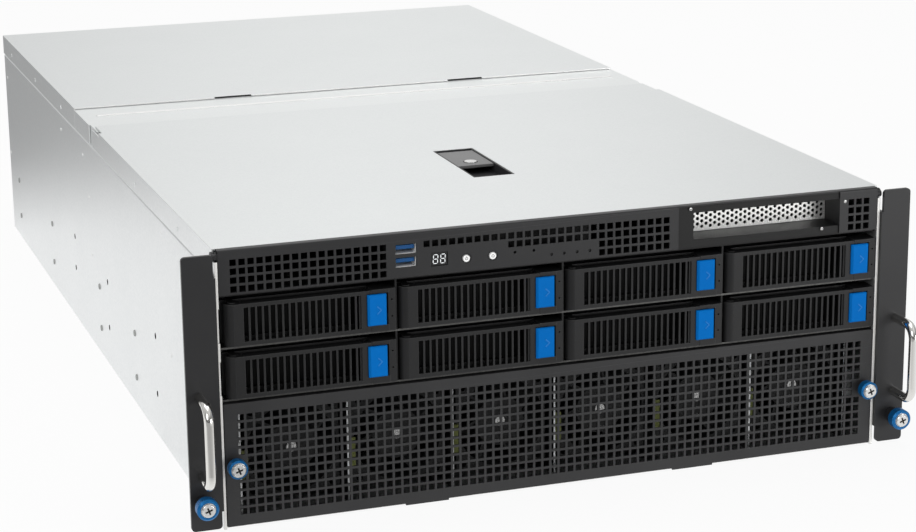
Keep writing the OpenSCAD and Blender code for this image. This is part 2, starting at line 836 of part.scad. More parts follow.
// Carrier: open front wall, latch block, side rails and cross bars, with its drive.
module tray(i) {
    column_x = tray_w - 4.5;
    rail_t = (tray_w - drive_w) / 2 - 0.8;
    stem_w = 6;
    translate([bay_x(i), 0, bay_z(i)]) {
        color(black) {
            difference() {
                union() {
                    front_sheet(tray_wall_y, 2)
                        difference() {
                            window([0, tray_w], [0, tray_h]);
                            window([louvre_x0 + 2, button_x - 4], [3, tray_h - 3]);
                        }
                    slab([column_x, tray_w], [0.5, tray_wall_y + 1], [0, tray_h]);
                    slab([button_x + 1, column_x + 0.5], [3, tray_wall_y + 1], [1.8, tray_h - 1.8]);
                    // rims under and over the button, level with the lever
                    for (z = [[0, button_z - 0.4], [button_z + button_h + 0.4, tray_h]])
                        slab([lever_end_x + gap, column_x + 0.5], [0.2, tray_wall_y + 1], z);
                }
                // slot that the release button's stem slides in
                slab([button_x + 2.8 - gap, button_x + 2.8 + stem_w + button_travel + gap], [2, 9.5],
                     [tray_h / 2 - 5, tray_h / 2 + 5]);
                for (z = [tray_h / 2 + 6.3, tray_h / 2 - 4.3])
                    bar_y(tray_w - 2.1, z, 0.6, -1, 4);
            }
            hinge_lug(0, 1.5);
            hinge_lug(tray_h - 1.5, 1.5);
            translate([barrel_x, barrel_y, 0])
                cylinder(r = pin_r, h = tray_h);
            for (x = [0.4, tray_w - 0.4 - rail_t])
                slab([x, x + rail_t], [tray_wall_y + 1, tray_d - 3], [1, tray_h - 2]);
            for (y = [40, tray_d - 30])
                slab([0.4, tray_w - 0.4], [y, y + 14], [0.6, 1.8]);
        }
        color("#9ea1a4")
            drive();
    }
}

// Drive of the standard 3.5 inch outline, with its raised lid.
module drive() {
    x0 = (tray_w - drive_w) / 2;
    y1 = tray_d - 1.2;
    slab([x0, x0 + drive_w], [y1 - drive_d, y1], [1.95, 1.95 + drive_h - 1.4]);
    flat_sheet(1.95 + drive_h - 1.45, 1.4)
        difference() {
            round_window([x0 + 4, x0 + drive_w - 4], [y1 - drive_d + 3, y1 - 26], 8);
            translate([x0 + 40, y1 - 92])
                circle(9);
        }
}

// Louvred lever with its hinge barrel at the left and a notch round the button.
module lever(i) {
    end_x = lever_end_x;
    zone_x1 = button_x - 3.6;
    count = floor((zone_x1 - louvre_x0 + louvre_rib) / louvre_pitch);
    flat_x0 = barrel_x + barrel_r + 0.3;
    color(black)
    translate([bay_x(i), 0, bay_z(i)])
    difference() {
        union() {
            front_sheet(0, lever_t)
                difference() {
                    window([barrel_x, end_x], [0.3, tray_h - 0.3]);
                    for (k = [0:count - 1])
                        window([zone_x1 - k * louvre_pitch - louvre_pitch + louvre_rib,
                                zone_x1 - k * louvre_pitch], [2.8, tray_h - 2.6]);
                    window([button_x - gap, end_x + 1], [button_z - 0.4, button_z + button_h + 0.4]);
                }
            translate([barrel_x, barrel_y, 0.3])
                cylinder(r = barrel_r, h = tray_h - 0.6);
            // stiffening edges above and below the louvres
            for (z = [0.3, tray_h - 1.5])
                slab([flat_x0, zone_x1], [lever_t / 2, 8], [z, z + 1.2]);
            slab([zone_x1 - 1.2, zone_x1], [lever_t / 2, 8], [0.3, tray_h - 0.3]);
        }
        translate([barrel_x, barrel_y, 0])
            cylinder(r = pin_r + bore_gap, h = tray_h);
        lug_pocket(-0.2, 2);
        lug_pocket(tray_h - 1.8, 2);
    }
}

// Blue release button: a chamfered cap with a raised arrow, and its stem.
module release_button(i) {
    r = 0.7;
    arm = 3.6;
    color(blue)
    translate([bay_x(i) + button_x, 0, bay_z(i) + button_z]) {
        intersection() {
            side_sheet(0, button_w)
                polygon([[-button_proud + r, 0], [0.2, 0], [0.2, button_h],
                         [-button_proud + r, button_h], [-button_proud, button_h - r],
                         [-button_proud, r]]);
            flat_sheet(-1, button_h + 2)
                polygon([[0, 1], [0, -button_proud + 1.2], [1.1, -button_proud],
                         [button_w - r, -button_proud], [button_w, -button_proud + r],
                         [button_w, 1]]);
        }
        slab([2.8, 8.8], [0, 8.5], [button_h / 2 - 4, button_h / 2 + 2]);
        for (s = [-1, 1])
            translate([button_w / 2 + 2.4, -button_proud - 0.25, button_h / 2])
                rotate([0, s * 42, 0])
                    translate([-arm, 0, -0.35])
                        cube([arm, 0.5, 0.7]);
    }
}

// ---- covers --------------------------------------------------------------------------

// Flat cover sheet with both side flanges and the rivets of their hooks.
module cover_sheet(y0, y1, rivet_y) {
    slab([-half_w, half_w], [y0, y1], [body_h - skin, body_h]);
    both_sides() {
        slab([half_w - skin, half_w], [y0, y1], [body_h - flange_h, body_h - skin / 2]);
        for (y = rivet_y)
            side_head(half_w, y, body_h - 10, 1.6, 0.5);
    }
}

module front_cover() {
    color(steel)
    difference() {
        cover_sheet(return_d + gap, cover_y1, [98, 229]);
        slab([-latch_w / 2, latch_w / 2], [latch_y0, latch_y0 + latch_len],
             [body_h - 2 * skin, body_h + 1]);
        both_sides()
            slab([half_w - 2.6, half_w + 1], [cover_y1 - 26, cover_y1 + 1],
                 [body_h - 2.6, body_h + 1]);
    }
}

// Fixed strip between the covers, one sheet lower, with a long pressed bead.
module cover_bridge() {
    z1 = body_h - skin - gap;
    x = half_w - inset;
    color(steel) {
        slab([-half_w + skin / 2, half_w - skin / 2],
             [cover_y1 + cover_travel + 1, rear_cover_y - 1], [z1 - skin, z1]);
        slab([-x, x], [cover_y1 - 14, rear_cover_y + 14], [z1 - skin, z1]);
        both_sides()
            slab([half_w - skin, half_w], [cover_y1 + cover_travel + 1, rear_cover_y - 1],
                 [body_h - flange_h, z1]);
        slab([-208, 208], [cover_y1 + 41, cover_y1 + 45], [z1 - skin / 2, z1 + 0.5]);
    }
}

module rear_cover() {
    color(steel)
    difference() {
        union() {
            cover_sheet(rear_cover_y, body_d + skin + gap, [511, 631, 754]);
            slab([-half_w, half_w], [body_d + gap, body_d + gap + skin],
                 [psu_z0 + psu_count * psu_pitch, body_h - skin / 2]);
        }
        for (x = [-95.8, 94.2])
            slab([x - 14.6, x + 14.6], [rear_cover_y - 1, rear_cover_y + 2.2],
                 [body_h - skin - 1, body_h + 1]);
    }
}

// Dark cup under the opening in the front cover, with the ears of the lever's hinge.
latch_floor = body_h - 8;
latch_axis_y = latch_y0 + latch_len - 5;
latch_axis_z = body_h - 3.6;

module latch_housing() {
    x = latch_w / 2 - seat;
    y = [latch_y0 + seat, latch_y0 + latch_len - seat];
    color("#3c3e40")
    difference() {
        slab([-x, x], y, [latch_floor, body_h - 0.2]);
        slab([-x + 1.2, x - 1.2], [y[0] + 1.2, y[1] - 1.2], [latch_floor + 1.2, body_h + 1]);
        translate([-x - 1, latch_axis_y, latch_axis_z])
            rotate([0, 90, 0])
                cylinder(r = 1.2 + bore_gap, h = 2 * x + 2);
    }
}

// Grey lever that turns up about its rear edge, with the lock screw near its middle.
module latch_lever() {
    x = latch_w / 2 - seat - 1.2 - gap;
    y0 = latch_axis_y - latch_lever_len;
    color("#8b8d8f") {
        difference() {
            slab([-x, x], [y0, latch_axis_y], [body_h - 2.4, body_h - 0.6]);
            translate([0, y0 + 11, body_h - 3])
                cylinder(r = 4.9, h = 4);
        }
        translate([0, y0 + 11, body_h - 4.2]) {
            cylinder(r = 5.2, h = 2.2);
            cylinder(r = 4.3, h = 4);
        }
        translate([-x, latch_axis_y, latch_axis_z])
            rotate([0, 90, 0])
                cylinder(r = 2.4, h = 2 * x);
        translate([-latch_w / 2 + seat + 0.1, latch_axis_y, latch_axis_z])
            rotate([0, 90, 0])
                cylinder(r = 1.2, h = latch_w - 2 * seat - 0.2);
    }
}

// ---- rear ----------------------------------------------------------------------------

// Rear panel with the power supply bay, the card openings and vents.
module rear_panel() {
    x = half_w - wall - seat;
    y0 = body_d - wall;
    z1 = top_z - wall - seat;
    px = [psu_x0 - 0.6, psu_x0 + psu_w + 0.6];
    color(steel) {
        front_sheet(y0, wall)
            difference() {
                window([-x, x], [wall + seat, z1]);
                window([px[0], px[1]], [psu_z0 - 0.6, z1 - 1]);
                for (i = [0:7])
                    window([card_x0 + i * card_pitch + 1.6, card_x0 + (i + 1) * card_pitch - 1.6],
                           [card_z0 + 2, card_z0 + 110]);
                window(io_range, [board_z - 29, board_z - 5]);
                vent_grid(card_x0 + 140, 9, 32, 5);
            }
        // bay of the power supplies: an upright and a shelf under each but the lowest
        slab([px[1], px[1] + wall], [body_d - psu_d - 20, body_d - wall / 2],
             [wall + seat, z1]);
        for (k = [1:psu_count - 1])
            slab([px[0], px[1] + wall / 2], [body_d - psu_d - 20, body_d - wall / 2],
                 [psu_z0 + k * psu_pitch - 0.6 - wall, psu_z0 + k * psu_pitch - 0.6]);
    }
}

// One power supply: case, inlet, fan opening with its guard, latch tab and pull loop.
module power_supply(i) {
    z0 = psu_z0 + i * psu_pitch;
    y1 = body_d + 1.5;
    zc = psu_h / 2;
    fan_r = min(17, psu_h / 2 - 2.5);
    fan_cx = psu_w - fan_r - 4;
    color("#b9bcbe")
    translate([psu_x0, 0, z0]) {
        difference() {
            slab([0, psu_w], [body_d - psu_d, y1], [0, psu_h]);
            bar_y(fan_cx, zc, fan_r, y1 - 10, y1 + 1);
            // inlet socket, with its three blades left standing
            difference() {
                slab([4, 28.5], [y1 - 16, y1 + 1], [zc - 9, zc + 9]);
                for (p = [[16.2, 4], [9.5, -3.5], [23, -3.5]])
                    slab([p[0] - 1, p[0] + 1], [y1 - 17, y1 - 3], [zc + p[1] - 3, zc + p[1] + 3]);
            }
        }
        bar_y(fan_cx, zc, 6, y1 - 10.5, y1);
        for (r = [9.5, 13])
            difference() {
                bar_y(fan_cx, zc, r + 0.6, y1 - 1.4, y1);
                bar_y(fan_cx, zc, r - 0.6, y1 - 2, y1 + 1);
            }
        for (a = [45, 135])
            translate([fan_cx, 0, zc])
                rotate([0, a, 0])
                    slab([-fan_r - 0.5, fan_r + 0.5], [y1 - 1.4, y1], [-0.6, 0.6]);
        // pull loop
        for (z = [zc - 13, zc + 13])
            bar_y(33, z, 1.6, y1 - 1, body_d + psu_loop() - 1.6);
        translate([33, body_d + psu_loop() - 1.6, zc - 14.6])
            cylinder(r = 1.6, h = 29.2);
        // latch tab
        slab([1, 2.6], [y1 - 1, y1 + 9], [zc - 6, zc + 6]);
    }
}

// Eight double-width cards: shroud, edge connector and vented bracket.
module graphics_cards() {
    y1 = body_d - wall - seat;
    color("#3a3d3c")
        for (i = [0:7])
            translate([card_x0 + i * card_pitch, 0, card_z0]) {
                difference() {
                    slab([1.2, card_pitch - 1.2], [y1 - card_len, y1 - 0.8], [2, card_h]);
                    slab([0.5, card_pitch + 1], [y1 - card_len - 1, y1 - card_len + 20], [82, card_h + 1]);
                }
                front_sheet(y1 - 1, 1)
                    difference() {
                        window([0.4, card_pitch - 0.4], [-4, bracket_h - 4]);
                        for (k = [0:13])
                            window([5, card_pitch - 5], [8 + k * 7, 12 + k * 7]);
                    }
                slab([card_pitch / 2 - 0.8, card_pitch / 2 + 0.8], [body_d - 158, body_d - 72],
                     [-card_z0 + board_z + 11 + seat, 3]);
            }
}

// Rear sockets, as their middle in X, height over the middle, width, height and depth.
io_sockets = concat(
    [for (k = [0:2]) [18 + k * 18, 0, 15.6, 13.6, 22]],
    [for (s = [-1, 1]) [72, s * 4, 14.6, 7.4, 18]]);

// Box of one rear socket, made smaller by t all round and open to the rear past the face.
module socket_box(s, t, past) {
    y1 = body_d + 0.6;
    zc = board_z - 17;
    slab([io_range[0] + s[0] - s[2] / 2 + t, io_range[0] + s[0] + s[2] / 2 - t],
         [y1 - s[4] + 2 * t, y1 + past],
         [zc + s[1] - s[3] / 2 + t, zc + s[1] + s[3] / 2 - t]);
}

// Rear sockets on their board, behind a shield: three network, two data, one display.
module rear_io() {
    x0 = io_range[0];
    zc = board_z - 17;
    shield_y = body_d - wall - seat - 1;
    color("#b4b7b9")
    difference() {
        union() {
            slab([x0 - 3, io_range[1] + 3], [shield_y, shield_y + 1], [zc - 14, zc + 14]);
            for (s = io_sockets)
                socket_box(s, 0, 0);
            slab([x0 + 88, x0 + 116], [body_d - 12, body_d + 0.4], [zc - 6, zc + 6]);
            slab([x0 + 2, x0 + 118], [body_d - 60, shield_y + eps], [zc - 9.6, zc - 8]);
            slab([x0 + 8, x0 + 80], [body_d - 20, body_d - 4], [zc - 8.1, zc - 6.7]);
            slab([x0 + 89, x0 + 115], [body_d - 12, body_d - 4], [zc - 8.1, zc - 5.9]);
        }
        for (s = io_sockets)
            socket_box(s, 1.2, 1);
    }
}

// ---- assembly ------------------------------------------------------------------------

// Moves the pieces so that the middle of the whole depth is at the origin.
module placed() {
    translate([0, -mid_y, 0])
        children();
}

placed() chassis_tub();
placed() rear_panel();
placed() drive_cage();
placed() main_boards();
placed() control_panel();
placed() front_io();
placed() push_button(power_x);  // power_button
placed() push_button(id_x);  // id_button
placed() slot_frame();
placed() slot_bracket();
placed() front_cover();
placed() cover_bridge();
placed() rear_cover();
placed() latch_housing();
placed() latch_lever();
placed() ear_left();
placed() ear_right();
placed() ear_handles();
placed() ear_screw(-1);  // ear_screw_left
placed() ear_screw(1);  // ear_screw_right
placed() fan_grille();
placed() grille_screw(-1);  // grille_screw_left
placed() grille_screw(1);  // grille_screw_right
placed() fan_frames();
placed() graphics_cards();
placed() rear_io();
for (i = [1:6])
    placed() fan_rotor(i - 1);
for (i = [1:4])
    placed() power_supply(i - 1);
for (i = [1:8]) {
    placed() tray(i - 1);
    placed() lever(i - 1);
    placed() release_button(i - 1);
}
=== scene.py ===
import math

import bmesh
import bpy
from mathutils import Matrix, Vector


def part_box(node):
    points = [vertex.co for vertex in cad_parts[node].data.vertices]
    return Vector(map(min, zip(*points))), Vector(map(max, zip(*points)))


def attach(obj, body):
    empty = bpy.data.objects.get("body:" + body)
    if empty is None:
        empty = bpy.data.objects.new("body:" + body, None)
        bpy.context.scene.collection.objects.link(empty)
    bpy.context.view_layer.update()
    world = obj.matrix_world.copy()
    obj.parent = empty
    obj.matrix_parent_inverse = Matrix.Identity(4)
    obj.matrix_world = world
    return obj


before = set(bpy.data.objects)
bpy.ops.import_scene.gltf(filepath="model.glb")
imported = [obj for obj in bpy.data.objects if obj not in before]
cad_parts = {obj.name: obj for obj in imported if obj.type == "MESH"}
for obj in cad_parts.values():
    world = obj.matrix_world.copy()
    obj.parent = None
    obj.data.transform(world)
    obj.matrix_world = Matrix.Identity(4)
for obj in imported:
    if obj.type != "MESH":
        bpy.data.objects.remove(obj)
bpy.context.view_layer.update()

# ---- camera ----
# Stands at the front left, a little above the lid, far enough away for a calm perspective.
camera_data = bpy.data.cameras.new("camera")
camera_data.lens = 94.46
camera_data.sensor_width = 36
camera_data.clip_start = 0.05
camera_data.clip_end = 60
camera = bpy.data.objects.new("camera", camera_data)
camera.location = (-0.52586, -1.73151, 0.53566)
camera.rotation_euler = (math.radians(74.7324), math.radians(0.6073), math.radians(-19.0874))
bpy.context.scene.collection.objects.link(camera)
bpy.context.scene.camera = camera


# ---- chassis of galvanised sheet ----
# The tub is one sheet of zinc-coated steel, folded up into floor, side walls and the fan
# wall's partitions, with a fine frosty crystal grain that scatters the light.
def group(name, inputs, outputs):
    """A shader node group with its input and output nodes."""
    tree = bpy.data.node_groups.new(name, "ShaderNodeTree")
    for label, kind, value in inputs:
        socket = tree.interface.new_socket(label, in_out="INPUT", socket_type=kind)
        if value is not None:
            socket.default_value = value
    for label, kind in outputs:
        tree.interface.new_socket(label, in_out="OUTPUT", socket_type=kind)
    return tree, tree.nodes.new("NodeGroupInput"), tree.nodes.new("NodeGroupOutput")


def node(tree, kind, links=None, **settings):
    """A node with its settings, and its input sockets linked or given a value."""
    made = tree.nodes.new(kind)
    for key, value in settings.items():
        setattr(made, key, value)
    for key, value in (links or {}).items():
        if isinstance(value, bpy.types.NodeSocket):
            tree.links.new(value, made.inputs[key])
        else:
            made.inputs[key].default_value = value
    return made


def mix_colour(tree, factor, first, second):
    """Colour socket that runs from first to second as factor runs from 0 to 1."""
    mix = node(tree, "ShaderNodeMix", {0: factor, 6: first, 7: second}, data_type="RGBA")
    return mix.outputs[2]


def spread(tree, value, low, high, start=0.0, end=1.0):
    """Value socket mapped from the range start to end onto low to high."""
    return node(tree, "ShaderNodeMapRange",
                {"Value": value, "From Min": start, "From Max": end, "To Min": low,
                 "To Max": high}).outputs["Result"]


def sums(tree, operation, first, second=0.0, third=0.0):
    """Value socket of one sum on two or three values."""
    return node(tree, "ShaderNodeMath", {0: first, 1: second, 2: third},
                operation=operation).outputs[0]


# The edge mask lightens the colour at edges in the finishes below: partly wear, partly a painted
# highlight.
def wear_and_highlight_edge_group():
    """Rounded normal at the folded and cut edges, and a mask of how near an edge is."""
    tree, entry, exit_ = group("Edge wear and highlight", [("Radius", "NodeSocketFloat", 0.0004)],
                               [("Mask", "NodeSocketFloat"), ("Normal", "NodeSocketVector")])
    round_edge = node(tree, "ShaderNodeBevel", {"Radius": entry.outputs["Radius"]}, samples=4)
    flat = node(tree, "ShaderNodeNewGeometry")
    agree = node(tree, "ShaderNodeVectorMath",
                 {0: round_edge.outputs["Normal"], 1: flat.outputs["Normal"]},
                 operation="DOT_PRODUCT").outputs["Value"]
    tree.links.new(spread(tree, agree, 0.0, 1.0, 0.985, 0.78), exit_.inputs["Mask"])
    tree.links.new(round_edge.outputs["Normal"], exit_.inputs["Normal"])
    return tree


def frosted_sheet_group():
    """Crystal grain of zinc-coated sheet: small flakes, each with its own tone, over fine
    specks and a faint wide cloud."""
    tree, entry, exit_ = group(
        "Frosted sheet",
        [("Vector", "NodeSocketVector", None), ("Flake scale", "NodeSocketFloat", 700.0),
         ("Light", "NodeSocketColor", (0.8, 0.8, 0.8, 1)),
         ("Dark", "NodeSocketColor", (0.7, 0.7, 0.7, 1)),
         ("Smooth", "NodeSocketFloat", 0.35), ("Rough", "NodeSocketFloat", 0.5)],
        [("Colour", "NodeSocketColor"), ("Roughness", "NodeSocketFloat"),
         ("Height", "NodeSocketFloat")])
    place = entry.outputs["Vector"]
    flakes = node(tree, "ShaderNodeTexVoronoi",
                  {"Vector": place, "Scale": entry.outputs["Flake scale"]})
    tone = node(tree, "ShaderNodeSeparateColor", {0: flakes.outputs["Color"]}).outputs[0]
    specks = node(tree, "ShaderNodeTexNoise",
                  {"Vector": place, "Scale": 2400.0, "Detail": 2.0}).outputs["Fac"]
    cloud = node(tree, "ShaderNodeTexNoise",
                 {"Vector": place, "Scale": 14.0, "Detail": 3.0}).outputs["Fac"]
    grain = sums(tree, "MULTIPLY_ADD", specks, 0.8, sums(tree, "MULTIPLY", tone, 0.45))
    grain = sums(tree, "MULTIPLY_ADD", cloud, 0.35, grain)
    grain = spread(tree, grain, 0.0, 1.0, 0.35, 1.25)
    tree.links.new(mix_colour(tree, grain, entry.outputs["Dark"], entry.outputs["Light"]),
                   exit_.inputs["Colour"])
    tree.links.new(spread(tree, grain, entry.outputs["Rough"], entry.outputs["Smooth"]),
                   exit_.inputs["Roughness"])
    tree.links.new(grain, exit_.inputs["Height"])
    return tree


edge_wear_and_highlight = wear_and_highlight_edge_group()
frosted_sheet = frosted_sheet_group()


def material(name, metallic=0.0, roughness=0.5, colour=(0.5, 0.5, 0.5), specular=0.5):
    """A Principled material with its node tree and its shader."""
    made = bpy.data.materials.new(name)
    made.use_nodes = True
    shader = made.node_tree.nodes["Principled BSDF"]
    shader.inputs["Metallic"].default_value = metallic
    shader.inputs["Roughness"].default_value = roughness
    shader.inputs["Specular IOR Level"].default_value = specular
    shader.inputs["Base Color"].default_value = (*colour, 1)
    return made, made.node_tree, shader


def object_place(tree):
    """Object coordinates of the piece, in metres."""
    return node(tree, "ShaderNodeTexCoord").outputs["Object"]


def bump(tree, shader, height, distance, strength=1.0, normal=None):
    """Relief of the given height map on the shader, with its distance in metres."""
    made = node(tree, "ShaderNodeBump",
                {"Height": height, "Distance": distance, "Strength": strength})
    if normal is not None:
        tree.links.new(normal, made.inputs["Normal"])
    tree.links.new(made.outputs["Normal"], shader.inputs["Normal"])


def frosted(name, light, dark, smooth, rough, flake=700.0, metallic=0.85, edge=0.0004,
            relief=0.00002):
    """A sheet metal in two close greys with its grain and softened edges, a little lighter there,
    partly wear and partly a painted highlight.
    """
    made, tree, shader = material(name, metallic)
    grain = node(tree, "ShaderNodeGroup", node_tree=frosted_sheet)
    tree.links.new(object_place(tree), grain.inputs["Vector"])
    for label, value in (("Flake scale", flake), ("Light", (*light, 1)),
                         ("Dark", (*dark, 1)), ("Smooth", smooth), ("Rough", rough)):
        grain.inputs[label].default_value = value
    border = node(tree, "ShaderNodeGroup", {"Radius": edge}, node_tree=edge_wear_and_highlight)
    bright = tuple(min(1.0, 1.08 * value) for value in light)
    colour = mix_colour(tree, border.outputs["Mask"], grain.outputs["Colour"], (*bright, 1))
    tree.links.new(colour, shader.inputs["Base Color"])
    tree.links.new(grain.outputs["Roughness"], shader.inputs["Roughness"])
    bump(tree, shader, grain.outputs["Height"], relief, 0.6, border.outputs["Normal"])
    return made


def dress(finish, *names):
    """Gives CAD nodes one finish all over."""
    for name in names:
        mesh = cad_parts[name].data
        mesh.materials.clear()
        mesh.materials.append(finish)


def dress_in_zones(name, main, *zones):
    """Gives a CAD node its main finish, and each zone's finish to the faces it holds."""
    dress(main, name)
    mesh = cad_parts[name].data
    for finish, holds in zones:
        mesh.materials.append(finish)
    for face in mesh.polygons:
        for index, (finish, holds) in enumerate(zones, 1):
            if holds(face.center * 1000, face.normal):
                face.material_index = index
                break


def within(x=(-999, 999), y=(-999, 999), z=(-999, 999)):
    """Test for a face whose middle lies in a box given in millimetres."""
    return lambda c, n: x[0] <= c.x <= x[1] and y[0] <= c.y <= y[1] and z[0] <= c.z <= z[1]


front_y = -397.0          # the face of the front panels, in millimetres
wall_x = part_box("cover_bridge")[1].x * 1000
galvanised = frosted("galvanised sheet", (0.92, 0.935, 0.935), (0.84, 0.86, 0.865), 0.30,
                     0.42)
hem_steel = frosted("folded hem", (0.90, 0.89, 0.86), (0.84, 0.83, 0.80), 0.36, 0.5,
                    metallic=0.2)
# The pressed heads are the tub's own sheet: the higher ones are painted near white as a glint, the
# lower ones mid grey as shade.
glint_painted_studs = frosted("pressed studs, painted glint", (0.97, 0.97, 0.97), (0.90, 0.90, 0.90), 0.24, 0.36,
                     1800.0, 0.1)
shade_painted_bosses = frosted("pressed bosses, painted shade", (0.40, 0.41, 0.40), (0.30, 0.31, 0.30), 0.34, 0.5,
                     1800.0, 0.4)
bore_shade = frosted("unlit bore", (0.035, 0.035, 0.035), (0.02, 0.02, 0.02), 0.5, 0.6)
dress(galvanised, "rear_panel")

# ---- covers ----
# Front and rear lids and the strip between them: coated steel sheet with a finer frost
# than the tub's. The rear lid's sheared edge and the strip's bead are painted brighter,
# as a painted highlight.
lid_sheet = frosted("lid sheet", (0.83, 0.85, 0.845), (0.765, 0.785, 0.785), 0.34, 0.44,
                    1300.0)
# The strip takes a lighter copy of the lid sheet: painted light.
bridge_sheet_painted_lighter = frosted("bridge sheet, painted lighter", (0.86, 0.88, 0.875), (0.80, 0.82, 0.815), 0.36, 0.46,
                       1300.0, 0.7)
# Near white on the rear lid's front edge and the strip's bead: a painted highlight.
painted_highlight_edge = frosted("cover edge and bead, painted highlight", (0.97, 0.97, 0.96), (0.93, 0.93, 0.92), 0.26, 0.36,
                   1300.0, 0.6, 0.0011)
seam_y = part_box("rear_cover")[0].y * 1000
bead_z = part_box("cover_bridge")[1].z * 1000


def is_flange_painted_lighter(c, n):
    """Outer faces of the folded sides, which take the tub's lighter sheet as painted light that
    evens them with the walls.
    """
    return abs(n.x) > 0.7 and abs(c.x) > wall_x - 2


def is_rivet(c, n):
    """Rivet heads on the flanges."""
    return abs(c.x) > wall_x + 0.52


# Rivet heads take the near white of the higher studs, a painted glint.
dress_in_zones("front_cover", lid_sheet, (glint_painted_studs, is_rivet), (galvanised, is_flange_painted_lighter))
dress_in_zones("rear_cover", lid_sheet,
               (painted_highlight_edge, lambda c, n: n.y < -0.5 and c.y < seam_y + 0.1),
               (bore_shade, lambda c, n: n.y < -0.5 and c.y < seam_y + 2.4),
               (glint_painted_studs, is_rivet), (galvanised, is_flange_painted_lighter))
dress_in_zones("cover_bridge", bridge_sheet_painted_lighter,
               (painted_highlight_edge, lambda c, n: c.z > bead_z - 0.45 and n.z > -0.5),
               (galvanised, is_flange_painted_lighter))


# ---- black painted sheet ----
# Ears, grille, upper panel and drive cage are steel with a fine textured black powder
# coat, a little greyer at the folded edges, partly where the coat thins and partly as a painted
# highlight.
def powder_coat_group():
    """Fine orange-peel relief and the slight patchiness of a baked powder coat."""
    tree, entry, exit_ = group(
        "Powder coat",
        [("Vector", "NodeSocketVector", None), ("Grain", "NodeSocketFloat", 2600.0),
         ("Base", "NodeSocketColor", (0.02, 0.02, 0.02, 1)),
         ("Bloom", "NodeSocketColor", (0.03, 0.03, 0.03, 1)),
         ("Smooth", "NodeSocketFloat", 0.38), ("Rough", "NodeSocketFloat", 0.58)],
        [("Colour", "NodeSocketColor"), ("Roughness", "NodeSocketFloat"),
         ("Height", "NodeSocketFloat")])
    grain = node(tree, "ShaderNodeTexNoise",
                 {"Vector": entry.outputs["Vector"], "Scale": entry.outputs["Grain"],
                  "Detail": 2.0})
    patches = node(tree, "ShaderNodeTexNoise",
                   {"Vector": entry.outputs["Vector"], "Scale": 22.0, "Detail": 5.0})
    patchy = sums(tree, "MULTIPLY_ADD", grain.outputs["Fac"], 0.4,
                  sums(tree, "MULTIPLY", patches.outputs["Fac"], 0.6))
    patchy = spread(tree, patchy, 0.0, 1.0, 0.3, 0.7)
    tree.links.new(mix_colour(tree, patchy, entry.outputs["Base"], entry.outputs["Bloom"]),
                   exit_.inputs["Colour"])
    tree.links.new(spread(tree, patches.outputs["Fac"], entry.outputs["Smooth"],
                          entry.outputs["Rough"], 0.25, 0.75), exit_.inputs["Roughness"])
    tree.links.new(grain.outputs["Fac"], exit_.inputs["Height"])
    return tree


powder_coat = powder_coat_group()


def coated(name, base, bloom, edge, grain=2600.0, depth=0.00003, radius=0.0003,
           smooth=0.38, rough=0.58, specular=0.3, metallic=0.0):
    """A coat or moulding with its fine relief and lighter edges, partly wear and partly a painted
    highlight.
    """
    made, tree, shader = material(name, metallic, specular=specular)
    coat = node(tree, "ShaderNodeGroup", node_tree=powder_coat)
    tree.links.new(object_place(tree), coat.inputs["Vector"])
    for label, value in (("Grain", grain), ("Base", (*base, 1)), ("Bloom", (*bloom, 1)),
                         ("Smooth", smooth), ("Rough", rough)):
        coat.inputs[label].default_value = value
    border = node(tree, "ShaderNodeGroup", {"Radius": radius}, node_tree=edge_wear_and_highlight)
    colour = mix_colour(tree, border.outputs["Mask"], coat.outputs["Colour"], (*edge, 1))
    tree.links.new(colour, shader.inputs["Base Color"])
    tree.links.new(coat.outputs["Roughness"], shader.inputs["Roughness"])
    bump(tree, shader, coat.outputs["Height"], depth, normal=border.outputs["Normal"])
    return made


black_coat = coated("black powder coat", (0.012, 0.012, 0.013), (0.018, 0.018, 0.019),
                    (0.05, 0.05, 0.052), smooth=0.34, rough=0.46, specular=0.38)
grille_coat = coated("grille powder coat", (0.019, 0.019, 0.020), (0.027, 0.027, 0.028),
                     (0.06, 0.06, 0.062), smooth=0.34, rough=0.46, specular=0.38)
ear_coat = coated("ear powder coat", (0.014, 0.014, 0.015), (0.020, 0.020, 0.021),
                  (0.06, 0.06, 0.062), smooth=0.34, rough=0.46, specular=0.38)
satin_coat = coated("satin black coat", (0.010, 0.010, 0.010), (0.014, 0.014, 0.014),
                    (0.03, 0.03, 0.03), smooth=0.42, rough=0.54, specular=0.22)
dress(black_coat, "control_panel")
dress(ear_coat, "ear_left", "ear_right")
dress(grille_coat, "fan_grille")
dress(satin_coat, "slot_frame")
glint_split_z = 60
in_fan_wall = within(x=(-215, 215), y=(front_y + 13, front_y + 63), z=(1.3, 80))
on_wall_middle = within(y=(front_y + 46, front_y + 790), z=(12, 160))


def is_pressed_head(c, n):
    """Bosses and rivets that stand out of a side wall."""
    return abs(c.x) > wall_x + 0.02


def is_rail_bore(c, n):
    """Inside of the holes in a side wall."""
    in_wall = wall_x - 1.3 < abs(c.x) < wall_x and abs(n.x) < 0.3
    return in_wall and on_wall_middle(c, n)


# Pressed heads low on the walls are painted grey as shade, those higher up white as a glint.
dress_in_zones("chassis_tub", galvanised,
               (hem_steel, lambda c, n: n.y < -0.9 and c.y < front_y + 3.1),
               (shade_painted_bosses, lambda c, n: is_pressed_head(c, n) and c.z < glint_split_z),
               (glint_painted_studs, is_pressed_head),
               (bore_shade, is_rail_bore),
               (black_coat, lambda c, n: n.y > -0.9 and in_fan_wall(c, n)))

